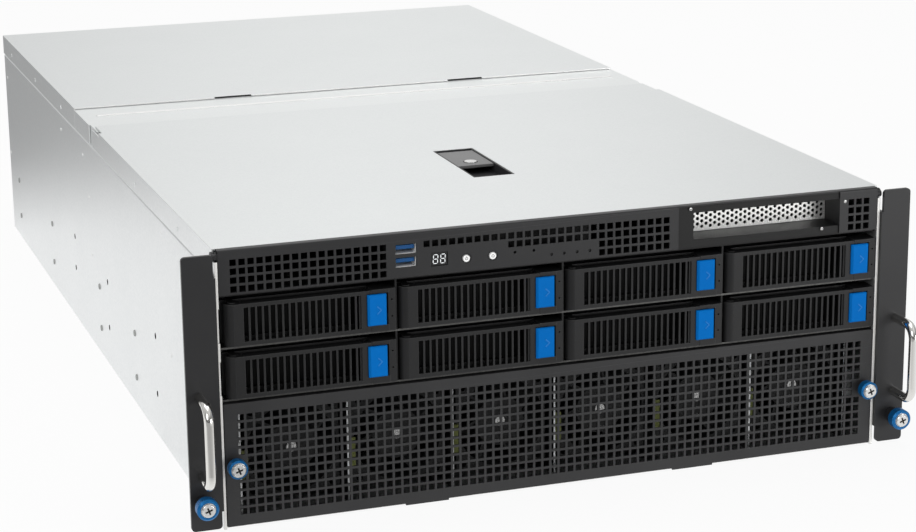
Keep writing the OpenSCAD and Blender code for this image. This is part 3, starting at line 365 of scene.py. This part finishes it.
# ---- drive cage ----
# The cage is coated like the panels. The front edges of the shelf between the rows and
# of the one under them are a lighter grey.
cage_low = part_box("drive_cage")[0] * 1000
shelf_edge_grey = frosted("grey shelf edge", (0.13, 0.13, 0.125), (0.07, 0.07, 0.068), 0.34, 0.5)
row_pitch = (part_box("tray_1")[0].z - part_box("tray_5")[0].z) * 1000
lower_shelf_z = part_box("tray_5")[0].z * 1000 - 1


def is_shelf_front_edge(c, n):
    """Front edges of the middle and lower shelves."""
    near = min(abs(c.z - lower_shelf_z - k * row_pitch) for k in (0, 1))
    return n.y < -0.9 and c.y < cage_low.y + 0.5 and near < 0.7


cage_coat = coated("cage powder coat", (0.006, 0.006, 0.006), (0.009, 0.009, 0.009),
                   (0.03, 0.03, 0.03), specular=0.25)
dress_in_zones("drive_cage", cage_coat, (shelf_edge_grey, is_shelf_front_edge))

# ---- drive carriers and levers ----
# Carriers and their levers are moulded in black nylon with a fine spark-eroded texture.
# The drive in each carrier has a cast grey body.
# Its edge colour, far lighter than the nylon, is mostly a painted highlight on the louvre ribs and
# frame edges.
black_nylon = coated("black nylon", (0.010, 0.010, 0.0105), (0.015, 0.015, 0.0155),
                     (0.085, 0.085, 0.086), grain=3200.0, depth=0.00002, radius=0.0004,
                     rough=0.5)
unlit_black = coated("unlit black", (0.005, 0.005, 0.005), (0.007, 0.007, 0.007),
                     (0.012, 0.012, 0.012), specular=0.12)
drive_grey = frosted("drive casting", (0.42, 0.43, 0.44), (0.33, 0.34, 0.35), 0.35, 0.5)
bays = range(1, 9)
for i in bays:
    low, high = (corner * 1000 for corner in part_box(f"tray_{i}"))
    side = (high.x - low.x - 101.6) / 2
    dress_in_zones(f"lever_{i}", black_nylon,
                   (unlit_black, lambda c, n: abs(n.x) > 0.9 and c.y < front_y + 2.45
                    and low.x + 12.5 < c.x < high.x - 24))
    dress_in_zones(f"tray_{i}", black_nylon,
                   (unlit_black, within(x=(low.x + 9, high.x - 5),
                                        y=(front_y + 11.5, front_y + 25))),
                   (drive_grey, within(x=(low.x + side - 0.05, high.x - side + 0.05),
                                       y=(low.y + 25, high.y + 1),
                                       z=(low.z + 1.9, high.z))))

# ---- release buttons ----
# Each lever is let go by a sliding blue button of satin acetal with a raised arrow, whose front
# faces are painted a lighter blue as a highlight.
release_blue = coated("blue acetal", (0.0005, 0.13, 0.46), (0.001, 0.15, 0.51),
                      (0.012, 0.22, 0.62), grain=2400.0, depth=0.00001, specular=0.04)
arrow_highlight_blue = coated("arrow blue, painted highlight", (0.012, 0.17, 0.54), (0.016, 0.19, 0.58),
                    (0.05, 0.28, 0.68), grain=2400.0, depth=0.00001, specular=0.2)
for i in bays:
    cap_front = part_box(f"release_button_{i}")[0].y * 1000
    dress_in_zones(f"release_button_{i}", release_blue,
                   (arrow_highlight_blue, lambda c, n: n.y < -0.9 and c.y < cap_front + 0.1))

# ---- thumbscrews ----
# A bright cross-slotted screw, its recess painted dark as shade, in a blue anodised knurled ring,
# on a dark neck.
def knurl_group():
    """Straight knurl round an axis that runs front to back through Centre."""
    tree, entry, exit_ = group(
        "Knurl", [("Vector", "NodeSocketVector", None), ("Centre", "NodeSocketVector", None),
                  ("Teeth", "NodeSocketFloat", 40.0)], [("Height", "NodeSocketFloat")])
    offset = node(tree, "ShaderNodeVectorMath",
                  {0: entry.outputs["Vector"], 1: entry.outputs["Centre"]},
                  operation="SUBTRACT").outputs["Vector"]
    axes = node(tree, "ShaderNodeSeparateXYZ", {0: offset}).outputs
    turn = sums(tree, "ARCTAN2", axes["Z"], axes["X"])
    wave = sums(tree, "SINE", sums(tree, "MULTIPLY", turn, entry.outputs["Teeth"]))
    tree.links.new(spread(tree, wave, 0.0, 1.0, -0.4, 0.4), exit_.inputs["Height"])
    return tree


knurl = knurl_group()
screw_steel = frosted("screw steel", (0.80, 0.80, 0.79), (0.62, 0.62, 0.61), 0.22, 0.34,
                      2600.0, 0.95)
recess_painted_shade = coated("screw recess, painted shade", (0.02, 0.02, 0.02), (0.04, 0.04, 0.04),
                    (0.2, 0.2, 0.2), smooth=0.3, rough=0.45)


def knurled_blue(name, centre):
    """Blue anodised aluminium with the knurl of the ring round centre."""
    made, tree, shader = material(name, 0.55, 0.34)
    place = object_place(tree)
    teeth = node(tree, "ShaderNodeGroup", {"Vector": place}, node_tree=knurl)
    teeth.inputs["Centre"].default_value = centre
    coat = node(tree, "ShaderNodeGroup", {"Vector": place}, node_tree=powder_coat)
    for label, value in (("Base", (0.001, 0.12, 0.36, 1)), ("Bloom", (0.002, 0.17, 0.46, 1)),
                         ("Smooth", 0.26), ("Rough", 0.42)):
        coat.inputs[label].default_value = value
    # The ring's lighter edges are partly wear, partly a painted highlight.
    border = node(tree, "ShaderNodeGroup", {"Radius": 0.0003}, node_tree=edge_wear_and_highlight)
    tree.links.new(mix_colour(tree, border.outputs["Mask"], coat.outputs["Colour"],
                              (0.06, 0.34, 0.66, 1)), shader.inputs["Base Color"])
    tree.links.new(coat.outputs["Roughness"], shader.inputs["Roughness"])
    bump(tree, shader, teeth.outputs["Height"], 0.0002, normal=border.outputs["Normal"])
    return made


def dress_thumbscrew(name, head_r, ring_back):
    """Bright head, recess painted dark as shade, blue ring and dark neck of one thumbscrew."""
    low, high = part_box(name)
    centre = ((low.x + high.x) / 2, 0.0, (low.z + high.z) / 2)
    front = low.y * 1000

    def radius(c):
        return math.hypot(c.x - centre[0] * 1000, c.z - centre[2] * 1000)

    dress_in_zones(
        name, knurled_blue(name + " blue", centre),
        (recess_painted_shade, lambda c, n: radius(c) < head_r * 0.62 and front + 0.3 < c.y < front + 2),
        (screw_steel, lambda c, n: radius(c) < head_r + 0.45 and c.y < front + 5),
        (black_coat, lambda c, n: c.y > front + ring_back))


for side in ("left", "right"):
    dress_thumbscrew(f"ear_screw_{side}", 4.2, 8.4)
    dress_thumbscrew(f"grille_screw_{side}", 4.2, 7.9)

# ---- bar handles ----
# Bent from chrome-plated round bar, with the faint lines of polishing.
chrome, tree, shader = material("polished chrome", 1.0, 0.10, (0.80, 0.79, 0.76))
lines = node(tree, "ShaderNodeTexNoise", {"Scale": 3000.0, "Detail": 1.0})
stretch = node(tree, "ShaderNodeMapping", {"Vector": object_place(tree)})
stretch.inputs["Scale"].default_value = (1.0, 1.0, 0.03)
tree.links.new(stretch.outputs["Vector"], lines.inputs["Vector"])
tree.links.new(spread(tree, lines.outputs["Fac"], 0.05, 0.16), shader.inputs["Roughness"])
tree.links.new(mix_colour(tree, lines.outputs["Fac"], (0.74, 0.73, 0.70, 1),
                          (0.84, 0.83, 0.80, 1)), shader.inputs["Base Color"])
dress(chrome, "ear_handles")

# ---- sockets, display and lamps of the upper panel ----
# One board carries two stacked sockets in plated shells with blue tongues, a two-digit
# display behind dark glass, and four small lamps. The board is painted black as shade.
bright_plate = frosted("bright plating", (0.86, 0.86, 0.85), (0.76, 0.76, 0.75), 0.22, 0.34,
                       1800.0, 0.9)
socket_shell = frosted("socket shell", (0.95, 0.95, 0.94), (0.88, 0.88, 0.87), 0.24, 0.36,
                       1800.0, 0.15)
# The tongues' blue, darkened past its own tone as painted shade of the throat.
tongue_blue_shaded = coated("socket tongue, painted shade", (0.002, 0.06, 0.20), (0.003, 0.08, 0.26),
                     (0.04, 0.26, 0.58), grain=2400.0, depth=0.00001, radius=0.0005)
board_painted_shade = coated("board, painted shade", (0.006, 0.006, 0.006), (0.009, 0.009, 0.009),
                      (0.012, 0.012, 0.012), rough=0.7)
smoked_glass, tree, shader = material("smoked glass", 0.0, 0.08, (0.006, 0.006, 0.007))
tint = node(tree, "ShaderNodeTexNoise", {"Vector": object_place(tree), "Scale": 400.0})
tree.links.new(spread(tree, tint.outputs["Fac"], 0.05, 0.12), shader.inputs["Roughness"])
panel_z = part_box("control_panel")[0].z * 1000
socket_x, display_x = -101.4, -80.2
display_z = panel_z + 9.4


def shell_face(c, n):
    """The plated shells of the two sockets, with their inner walls."""
    lift = min((c.z - panel_z - z for z in (9.4, 17.6)), key=abs)
    wall = abs(c.x - socket_x) > 6.3 or abs(lift) > 2.85 or c.y < front_y + 1.8
    return abs(c.x - socket_x) < 7 and c.y < front_y + 14.9 and wall


def tongue_face(c, n):
    """The blue tongue in each throat."""
    lift = min((c.z - panel_z - z for z in (9.4, 17.6)), key=abs)
    return (abs(c.x - socket_x) < 5.9 and front_y + 1.9 < c.y < front_y + 11.9
            and -0.25 < lift < 2.1)


dress_in_zones("front_io", board_painted_shade,
               (socket_shell, shell_face),
               (tongue_blue_shaded, tongue_face),
               (smoked_glass, within(x=(display_x - 5.2, display_x + 5.2),
                                     y=(front_y + 0.5, front_y + 1))))


def piece(name, shape, finish, body):
    """A finished mesh as a named piece that rides on a body."""
    mesh = bpy.data.meshes.new(name)
    shape.to_mesh(mesh)
    shape.free()
    mesh.materials.append(finish)
    made = bpy.data.objects.new(name, mesh)
    bpy.context.scene.collection.objects.link(made)
    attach(made, body)
    return made


def metres(*place):
    """A place given in millimetres."""
    return Vector(place) / 1000


def add_plate(shape, sides, radius, stretch, thickness, place):
    """A thin prism that stands towards the front, on an outline of a few sides."""
    made = bmesh.ops.create_circle(shape, cap_ends=True, segments=sides, radius=radius)
    front = made["verts"]
    face = front[0].link_faces[0]
    grown = bmesh.ops.extrude_face_region(shape, geom=[face])["geom"]
    moved = [item for item in grown if isinstance(item, bmesh.types.BMVert)]
    bmesh.ops.translate(shape, verts=moved, vec=(0, 0, thickness))
    whole = list(front) + moved
    bmesh.ops.scale(shape, verts=whole, vec=(*stretch, 1))
    bmesh.ops.rotate(shape, verts=whole, matrix=Matrix.Rotation(math.radians(90), 3, "X"))
    bmesh.ops.translate(shape, verts=whole, vec=place)
    return whole


# The digits are plain seven-segment figures, each bar a thin six-sided plate.
digit_white, tree, shader = material("lit segment", 0.0, 0.5, (0.82, 0.84, 0.84))
shader.inputs["Emission Color"].default_value = (0.9, 0.95, 1.0, 1)
shader.inputs["Emission Strength"].default_value = 0.35
digits = bmesh.new()
bar_len, bar_half = 2.5, 0.22
for centre_x in (-2.35, 2.35):
    for dx, dz, upright in ((0, 2.75, 0), (0, 0, 0), (0, -2.75, 0), (-1.4, 1.38, 1),
                            (1.4, 1.38, 1), (-1.4, -1.38, 1), (1.4, -1.38, 1)):
        corners = add_plate(digits, 6, 0.001, (bar_len / 2, bar_half * 1.15), 0.00012,
                            (0, 0, 0))
        if upright:
            bmesh.ops.rotate(digits, verts=corners,
                             matrix=Matrix.Rotation(math.radians(90), 3, "Y"))
        bmesh.ops.translate(digits, verts=corners,
                            vec=metres(display_x + centre_x + dx + 0.08 * dz,
                                       front_y + 0.6, display_z + dz))
piece("display_digits", digits, digit_white, "chassis")

# ---- push buttons ----
# Two small bright caps. One is marked with a plain ring, the other with an open ring and
# a bar, both printed in grey.
cap_bright = frosted("button cap", (0.97, 0.97, 0.96), (0.93, 0.93, 0.92), 0.26, 0.36,
                     2200.0, 0.15)
dress(cap_bright, "power_button", "id_button")
mark_grey = coated("button mark", (0.10, 0.10, 0.10), (0.14, 0.14, 0.14),
                   (0.2, 0.2, 0.2), depth=0.00001)


def add_ring(shape, inner, outer, depth, start, sweep, steps):
    """A flat ring or arc of square section that stands towards the front at the origin."""
    across, mid = (outer - inner) / 2, (outer + inner) / 2
    section = bmesh.ops.create_grid(shape, x_segments=1, y_segments=1, size=0.5)["verts"]
    bmesh.ops.scale(shape, verts=section, vec=(2 * across, depth, 1))
    bmesh.ops.translate(shape, verts=section, vec=(mid, -depth / 2, 0))
    bmesh.ops.rotate(shape, verts=section, matrix=Matrix.Rotation(start, 3, "Y"))
    whole = sweep >= 2 * math.pi - 1e-6
    bmesh.ops.spin(shape, geom=section[:] + list(section[0].link_faces)
                   + list({edge for vert in section for edge in vert.link_edges}),
                   axis=(0, 1, 0), cent=(0, 0, 0), angle=sweep, steps=steps,
                   use_merge=whole, use_duplicate=False)
    bmesh.ops.remove_doubles(shape, verts=shape.verts, dist=1e-7)
    if whole:
        inner_faces = [face for face in shape.faces if len(face.edges) == 4
                       and any(len(edge.link_faces) > 2 for edge in face.edges)
                       and all(len(edge.link_faces) > 2 for edge in face.edges)]
        bmesh.ops.delete(shape, geom=inner_faces, context="FACES_ONLY")
    bmesh.ops.recalc_face_normals(shape, faces=shape.faces)


def mark_on(button, name, start, sweep, bar):
    """The printed mark on the middle of a push button's cap."""
    low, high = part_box(button)
    shape = bmesh.new()
    add_ring(shape, 0.00065, 0.00095, 0.00005, start, sweep, 24)
    if bar:
        add_plate(shape, 4, 0.001, (0.2, 0.85), 0.00005, (0, 0, 0.0007))
    bmesh.ops.translate(shape, verts=shape.verts,
                        vec=((low.x + high.x) / 2, low.y, (low.z + high.z) / 2))
    piece(name, shape, mark_grey, button)


mark_on("power_button", "power_mark", math.radians(-60), math.radians(300), True)
mark_on("id_button", "id_mark", 0.0, 2 * math.pi, False)

# ---- card window ----
# The blanking bracket is of bright steel. Small plated screws with a hexagon socket hold
# the frame round it and the panel.
bracket_steel = frosted("bracket steel", (0.98, 0.98, 0.96), (0.93, 0.93, 0.91), 0.2, 0.3,
                        1800.0, 0.55)
dress(bracket_steel, "slot_bracket")


def add_screw(shape, radius, height, place, turn):
    """Domed screw head with a six-sided socket at place, turned from facing up."""
    known = set(shape.verts)
    outer = bmesh.ops.create_circle(shape, cap_ends=False, segments=18, radius=radius)["verts"]
    base = list({edge for vert in outer for edge in vert.link_edges})
    for size, lift in ((0.97, 0.45), (0.82, 0.85), (0.55, 1.0)):
        grown = bmesh.ops.extrude_edge_only(shape, edges=base)["geom"]
        base = [item for item in grown if isinstance(item, bmesh.types.BMEdge)]
        ring = [item for item in grown if isinstance(item, bmesh.types.BMVert)]
        for vert in ring:
            flat = Vector((vert.co.x, vert.co.y, 0)).normalized() * radius * size
            vert.co = (flat.x, flat.y, height * lift)
    socket = bmesh.ops.create_circle(shape, cap_ends=False, segments=6,
                                     radius=radius * 0.42)["verts"]
    bmesh.ops.translate(shape, verts=socket, vec=(0, 0, height))
    rim = list({edge for vert in socket for edge in vert.link_edges})
    bmesh.ops.bridge_loops(shape, edges=base + rim)
    grown = bmesh.ops.extrude_edge_only(shape, edges=rim)["geom"]
    deep = [item for item in grown if isinstance(item, bmesh.types.BMVert)]
    bmesh.ops.translate(shape, verts=deep, vec=(0, 0, -height * 0.7))
    floor_edges = [item for item in grown if isinstance(item, bmesh.types.BMEdge)]
    bmesh.ops.contextual_create(shape, geom=floor_edges)
    back = [edge for vert in outer for edge in vert.link_edges if len(edge.link_faces) < 2]
    bmesh.ops.contextual_create(shape, geom=list(set(back)))
    new = [vert for vert in shape.verts if vert not in known]
    bmesh.ops.recalc_face_normals(shape, faces=list({f for v in new for f in v.link_faces}))
    bmesh.ops.rotate(shape, verts=new, matrix=turn)
    bmesh.ops.translate(shape, verts=new, vec=place)


front = Matrix.Rotation(math.radians(90), 3, "X")
heads = bmesh.new()
for x, z in ((86.1, 172.1), (194.3, 167.4), (178.1, panel_z + 4.1)):
    add_screw(heads, 0.0011, 0.0005, metres(x, front_y, z), front)
piece("panel_screws", heads, screw_steel, "chassis")

# ---- ear screws in the walls ----
# Three countersunk screws fix each ear's leg to the side wall, blackened like the ear.
ear_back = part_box("ear_right")[1].y * 1000
leg_x = wall_x + 0.15 + 2.5
blackened = coated("blackened screw", (0.02, 0.02, 0.02), (0.035, 0.035, 0.035),
                   (0.14, 0.14, 0.14), smooth=0.26, rough=0.42, specular=0.5)
leg_heads = bmesh.new()
for z in (25.0, 85.75, 146.5):
    for side in (-1, 1):
        add_screw(leg_heads, 0.0031, 0.0009, metres(side * (leg_x - 1.05), ear_back - 12, z),
                  Matrix.Rotation(math.radians(side * 90), 3, "Y"))
piece("ear_leg_screws", leg_heads, blackened, "chassis")

# ---- lid latch ----
# A dark moulded well in the lid with a satin grey lever and its bright lock screw.
latch_dark = coated("latch well", (0.022, 0.022, 0.024), (0.03, 0.03, 0.032),
                    (0.09, 0.09, 0.09))
latch_grey = coated("latch grey", (0.105, 0.105, 0.105), (0.14, 0.14, 0.14),
                    (0.24, 0.24, 0.24), smooth=0.3, rough=0.42, specular=0.5)
dress(latch_dark, "latch_housing")
latch_low, latch_high = (corner * 1000 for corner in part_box("latch_lever"))
lock_y = latch_low.y + 11
dress_in_zones("latch_lever", latch_grey,
               (screw_steel, lambda c, n: math.hypot(c.x, c.y - lock_y) < 4.35
                and c.z > latch_high.z - 3.6))

# ---- fans ----
# Frames and rotors are moulded in black glass-filled plastic. A small plated disc with a
# dished middle covers the bearing on each hub.
fan_black = coated("fan plastic", (0.014, 0.014, 0.0145), (0.020, 0.020, 0.0205),
                   (0.04, 0.04, 0.04), specular=0.3, smooth=0.4, rough=0.6)
dress(fan_black, "fan_frames", *[f"fan_rotor_{i}" for i in range(1, 7)])
disc_r = 0.0034
for i in range(1, 7):
    low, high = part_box(f"fan_rotor_{i}")
    disc = bmesh.new()
    rim = bmesh.ops.create_circle(disc, cap_ends=False, segments=40, radius=disc_r)["verts"]
    edges = list({edge for vert in rim for edge in vert.link_edges})
    whole = list(rim)
    for scale, lift in ((0.94, 0.0003), (0.5, 0.0003), (0.42, 0.00012)):
        grown = bmesh.ops.extrude_edge_only(disc, edges=edges)["geom"]
        edges = [item for item in grown if isinstance(item, bmesh.types.BMEdge)]
        ring = [item for item in grown if isinstance(item, bmesh.types.BMVert)]
        for vert in ring:
            flat = Vector((vert.co.x, vert.co.y, 0)).normalized() * disc_r * scale
            vert.co = (flat.x, flat.y, lift)
    bmesh.ops.holes_fill(disc, edges=disc.edges, sides=0)
    bmesh.ops.recalc_face_normals(disc, faces=disc.faces)
    bmesh.ops.rotate(disc, verts=disc.verts, matrix=front)
    bmesh.ops.translate(disc, verts=disc.verts,
                        vec=((low.x + high.x) / 2, low.y - 0.00002, (low.z + high.z) / 2))
    piece(f"hub_disc_{i}", disc, screw_steel, f"fan_rotor_{i}")

# ---- boards ----
# Glass-fibre boards under a green solder mask; coolers, memory and sockets stand on them.
solder_mask = coated("solder mask", (0.010, 0.035, 0.012), (0.014, 0.05, 0.016),
                     (0.09, 0.09, 0.04), grain=900.0, smooth=0.25, rough=0.4)
fan_board = coated("fan board", (0.13, 0.15, 0.035), (0.18, 0.20, 0.06),
                   (0.34, 0.34, 0.2), grain=500.0)
socket_black = coated("socket plastic", (0.012, 0.012, 0.012), (0.02, 0.02, 0.02),
                      (0.05, 0.05, 0.05))
fin_metal = frosted("cooler fins", (0.78, 0.79, 0.80), (0.68, 0.69, 0.70), 0.25, 0.38)


def is_cooler(c, n):
    """The two finned coolers of the processors."""
    near = min(abs(c.x - 104), abs(c.x + 104)) < 39.1
    return near and c.z > 89.8 and front_y + 237 < c.y < front_y + 352


def is_socket(c, n):
    """Memory sticks and card slots."""
    memory = 89.8 < c.z < 125 and front_y + 228 < c.y < front_y + 372
    slots = 38 < c.z < 48 and c.y > front_y + 600
    return memory or slots


dress_in_zones("main_boards", solder_mask,
               (fan_board, within(y=(front_y + 12, front_y + 22), z=(18, 50))),
               (fin_metal, is_cooler), (socket_black, is_socket))

# ---- graphics cards ----
# Painted shrouds with bare steel brackets and gold-edged connectors.
card_coat = coated("card shroud", (0.035, 0.036, 0.037), (0.045, 0.046, 0.047),
                   (0.1, 0.1, 0.1))
gold = frosted("gold contacts", (0.83, 0.58, 0.20), (0.72, 0.48, 0.16), 0.25, 0.35)
rear_y = front_y + 800
dress_in_zones("graphics_cards", card_coat,
               (bright_plate, within(y=(rear_y - 2.6, rear_y + 1))),
               (gold, within(z=(0, 53.5))))

# ---- power supplies ----
# Plain zinc-coated cases with a black inlet, a wire guard before a black fan, a plated
# pull loop and a green latch tab.
supply_case = frosted("supply case", (0.70, 0.71, 0.72), (0.58, 0.59, 0.60), 0.3, 0.44)
inlet_black = coated("inlet black", (0.012, 0.012, 0.012), (0.02, 0.02, 0.02),
                     (0.05, 0.05, 0.05))
tab_green = coated("latch tab", (0.02, 0.16, 0.06), (0.03, 0.2, 0.08), (0.08, 0.3, 0.14),
                   depth=0.00001)
for i in range(1, 5):
    low, high = (corner * 1000 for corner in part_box(f"power_supply_{i}"))
    case_y = rear_y + 1.5
    dress_in_zones(
        f"power_supply_{i}", supply_case,
        (tab_green, within(x=(low.x, low.x + 2.7), y=(case_y + 0.2, high.y))),
        (chrome, within(y=(case_y + 0.05, high.y))),
        (inlet_black, within(x=(low.x + 3.9, low.x + 28.6), y=(case_y - 17, case_y - 0.01))),
        (inlet_black, within(x=(low.x + 35, high.x), y=(case_y - 10.6, case_y - 1.5))))

# ---- rear sockets ----
# Network and data sockets in plated shells, dark inside, behind one shield.
dress_in_zones("rear_io", bright_plate,
               (socket_black, within(y=(rear_y - 22, rear_y - 3), z=(0, 60))))

# ---- floor and light ----
# A pale floor that fades towards the back and the front left in what it mirrors, one wide
# soft lamp above and two weaker ones in front, under a sky that is dimmer in front.
floor_mesh = bpy.data.meshes.new("floor")
plan = bmesh.new()
bmesh.ops.create_grid(plan, x_segments=1, y_segments=1, size=20)
plan.to_mesh(floor_mesh)
plan.free()
floor = bpy.data.objects.new("floor", floor_mesh)
bpy.context.scene.collection.objects.link(floor)
floor_pale, tree, shader = material("pale floor", 0.0, 0.8, (0.8, 0.8, 0.8))
paths = node(tree, "ShaderNodeLightPath").outputs
camera_ray = paths["Is Camera Ray"]
spot = node(tree, "ShaderNodeSeparateXYZ", {0: object_place(tree)}).outputs
near = spread(tree, spot["Y"], 1.0, 0.0, -0.55, -0.42)
dim = spread(tree, spot["X"], 0.6, 0.0, -0.2, 0.4)
fade = sums(tree, "SUBTRACT", spread(tree, spot["Y"], 1.0, 0.25, 0.38, 0.70),
            sums(tree, "MULTIPLY", near, dim))
fade = sums(tree, "MAXIMUM", fade, camera_ray)
glow = node(tree, "ShaderNodeEmission", {"Color": (1.0, 1.0, 1.0, 1), "Strength": fade})
share = sums(tree, "MAXIMUM", sums(tree, "MULTIPLY", camera_ray, 0.92),
             sums(tree, "MULTIPLY", paths["Is Glossy Ray"], 0.9))
blend = node(tree, "ShaderNodeMixShader", {0: share})
tree.links.new(shader.outputs[0], blend.inputs[1])
tree.links.new(glow.outputs[0], blend.inputs[2])
tree.links.new(blend.outputs[0], tree.nodes["Material Output"].inputs["Surface"])
floor_mesh.materials.append(floor_pale)


def soft_light(name, place, target, width, height, power):
    """A rectangular lamp at place that faces target."""
    lamp = bpy.data.lights.new(name, "AREA")
    lamp.shape = "RECTANGLE"
    lamp.size = width
    lamp.size_y = height
    lamp.energy = power
    holder = bpy.data.objects.new(name, lamp)
    holder.location = place
    holder.rotation_euler = (Vector(target) - Vector(place)).to_track_quat("-Z", "Y").to_euler()
    bpy.context.scene.collection.objects.link(holder)


soft_light("top", (-0.2, 0.3, 2.6), (0, 0, 0.1), 2.6, 2.6, 26)
soft_light("front left", (-1.9, -2.2, 1.5), (0, -0.3, 0.1), 1.4, 1.4, 18)
soft_light("front right", (1.1, -1.9, 0.3), (0.1, -0.4, 0.1), 1.0, 0.5, 11)

world = bpy.data.worlds.new("studio")
world.use_nodes = True
sky = world.node_tree
paths = node(sky, "ShaderNodeLightPath").outputs
seen = sums(sky, "MAXIMUM", paths["Is Camera Ray"], paths["Is Transmission Ray"])
way = node(sky, "ShaderNodeSeparateXYZ", {0: node(sky, "ShaderNodeTexCoord").outputs["Generated"]})
off = sums(sky, "SUBTRACT", way.outputs["X"], 0.29)
across = sums(sky, "MULTIPLY_ADD", sums(sky, "MULTIPLY", off, off), -12.0, 1.02)
across = sums(sky, "MAXIMUM", across, 0.62)
ahead = sums(sky, "MAXIMUM", spread(sky, way.outputs["Y"], 0.35, 1.0, -0.5, 0.3),
             spread(sky, way.outputs["Z"], 0.35, 1.0, 0.4, 0.75))
rise = spread(sky, way.outputs["Z"], 0.55, 1.0, 0.0, 0.24)
mirrored = sums(sky, "MULTIPLY", sums(sky, "MULTIPLY", across, rise), ahead)
plain = sums(sky, "ADD", sums(sky, "MULTIPLY", paths["Is Glossy Ray"], mirrored),
             sums(sky, "MULTIPLY", sums(sky, "SUBTRACT", 1.0, paths["Is Glossy Ray"]), 0.55))
sky.links.new(sums(sky, "MAXIMUM", plain, seen), sky.nodes["Background"].inputs["Strength"])
sky.nodes["Background"].inputs["Color"].default_value = (1.0, 1.0, 1.0, 1)
bpy.context.scene.world = world
bpy.context.scene.view_settings.view_transform = "Standard"
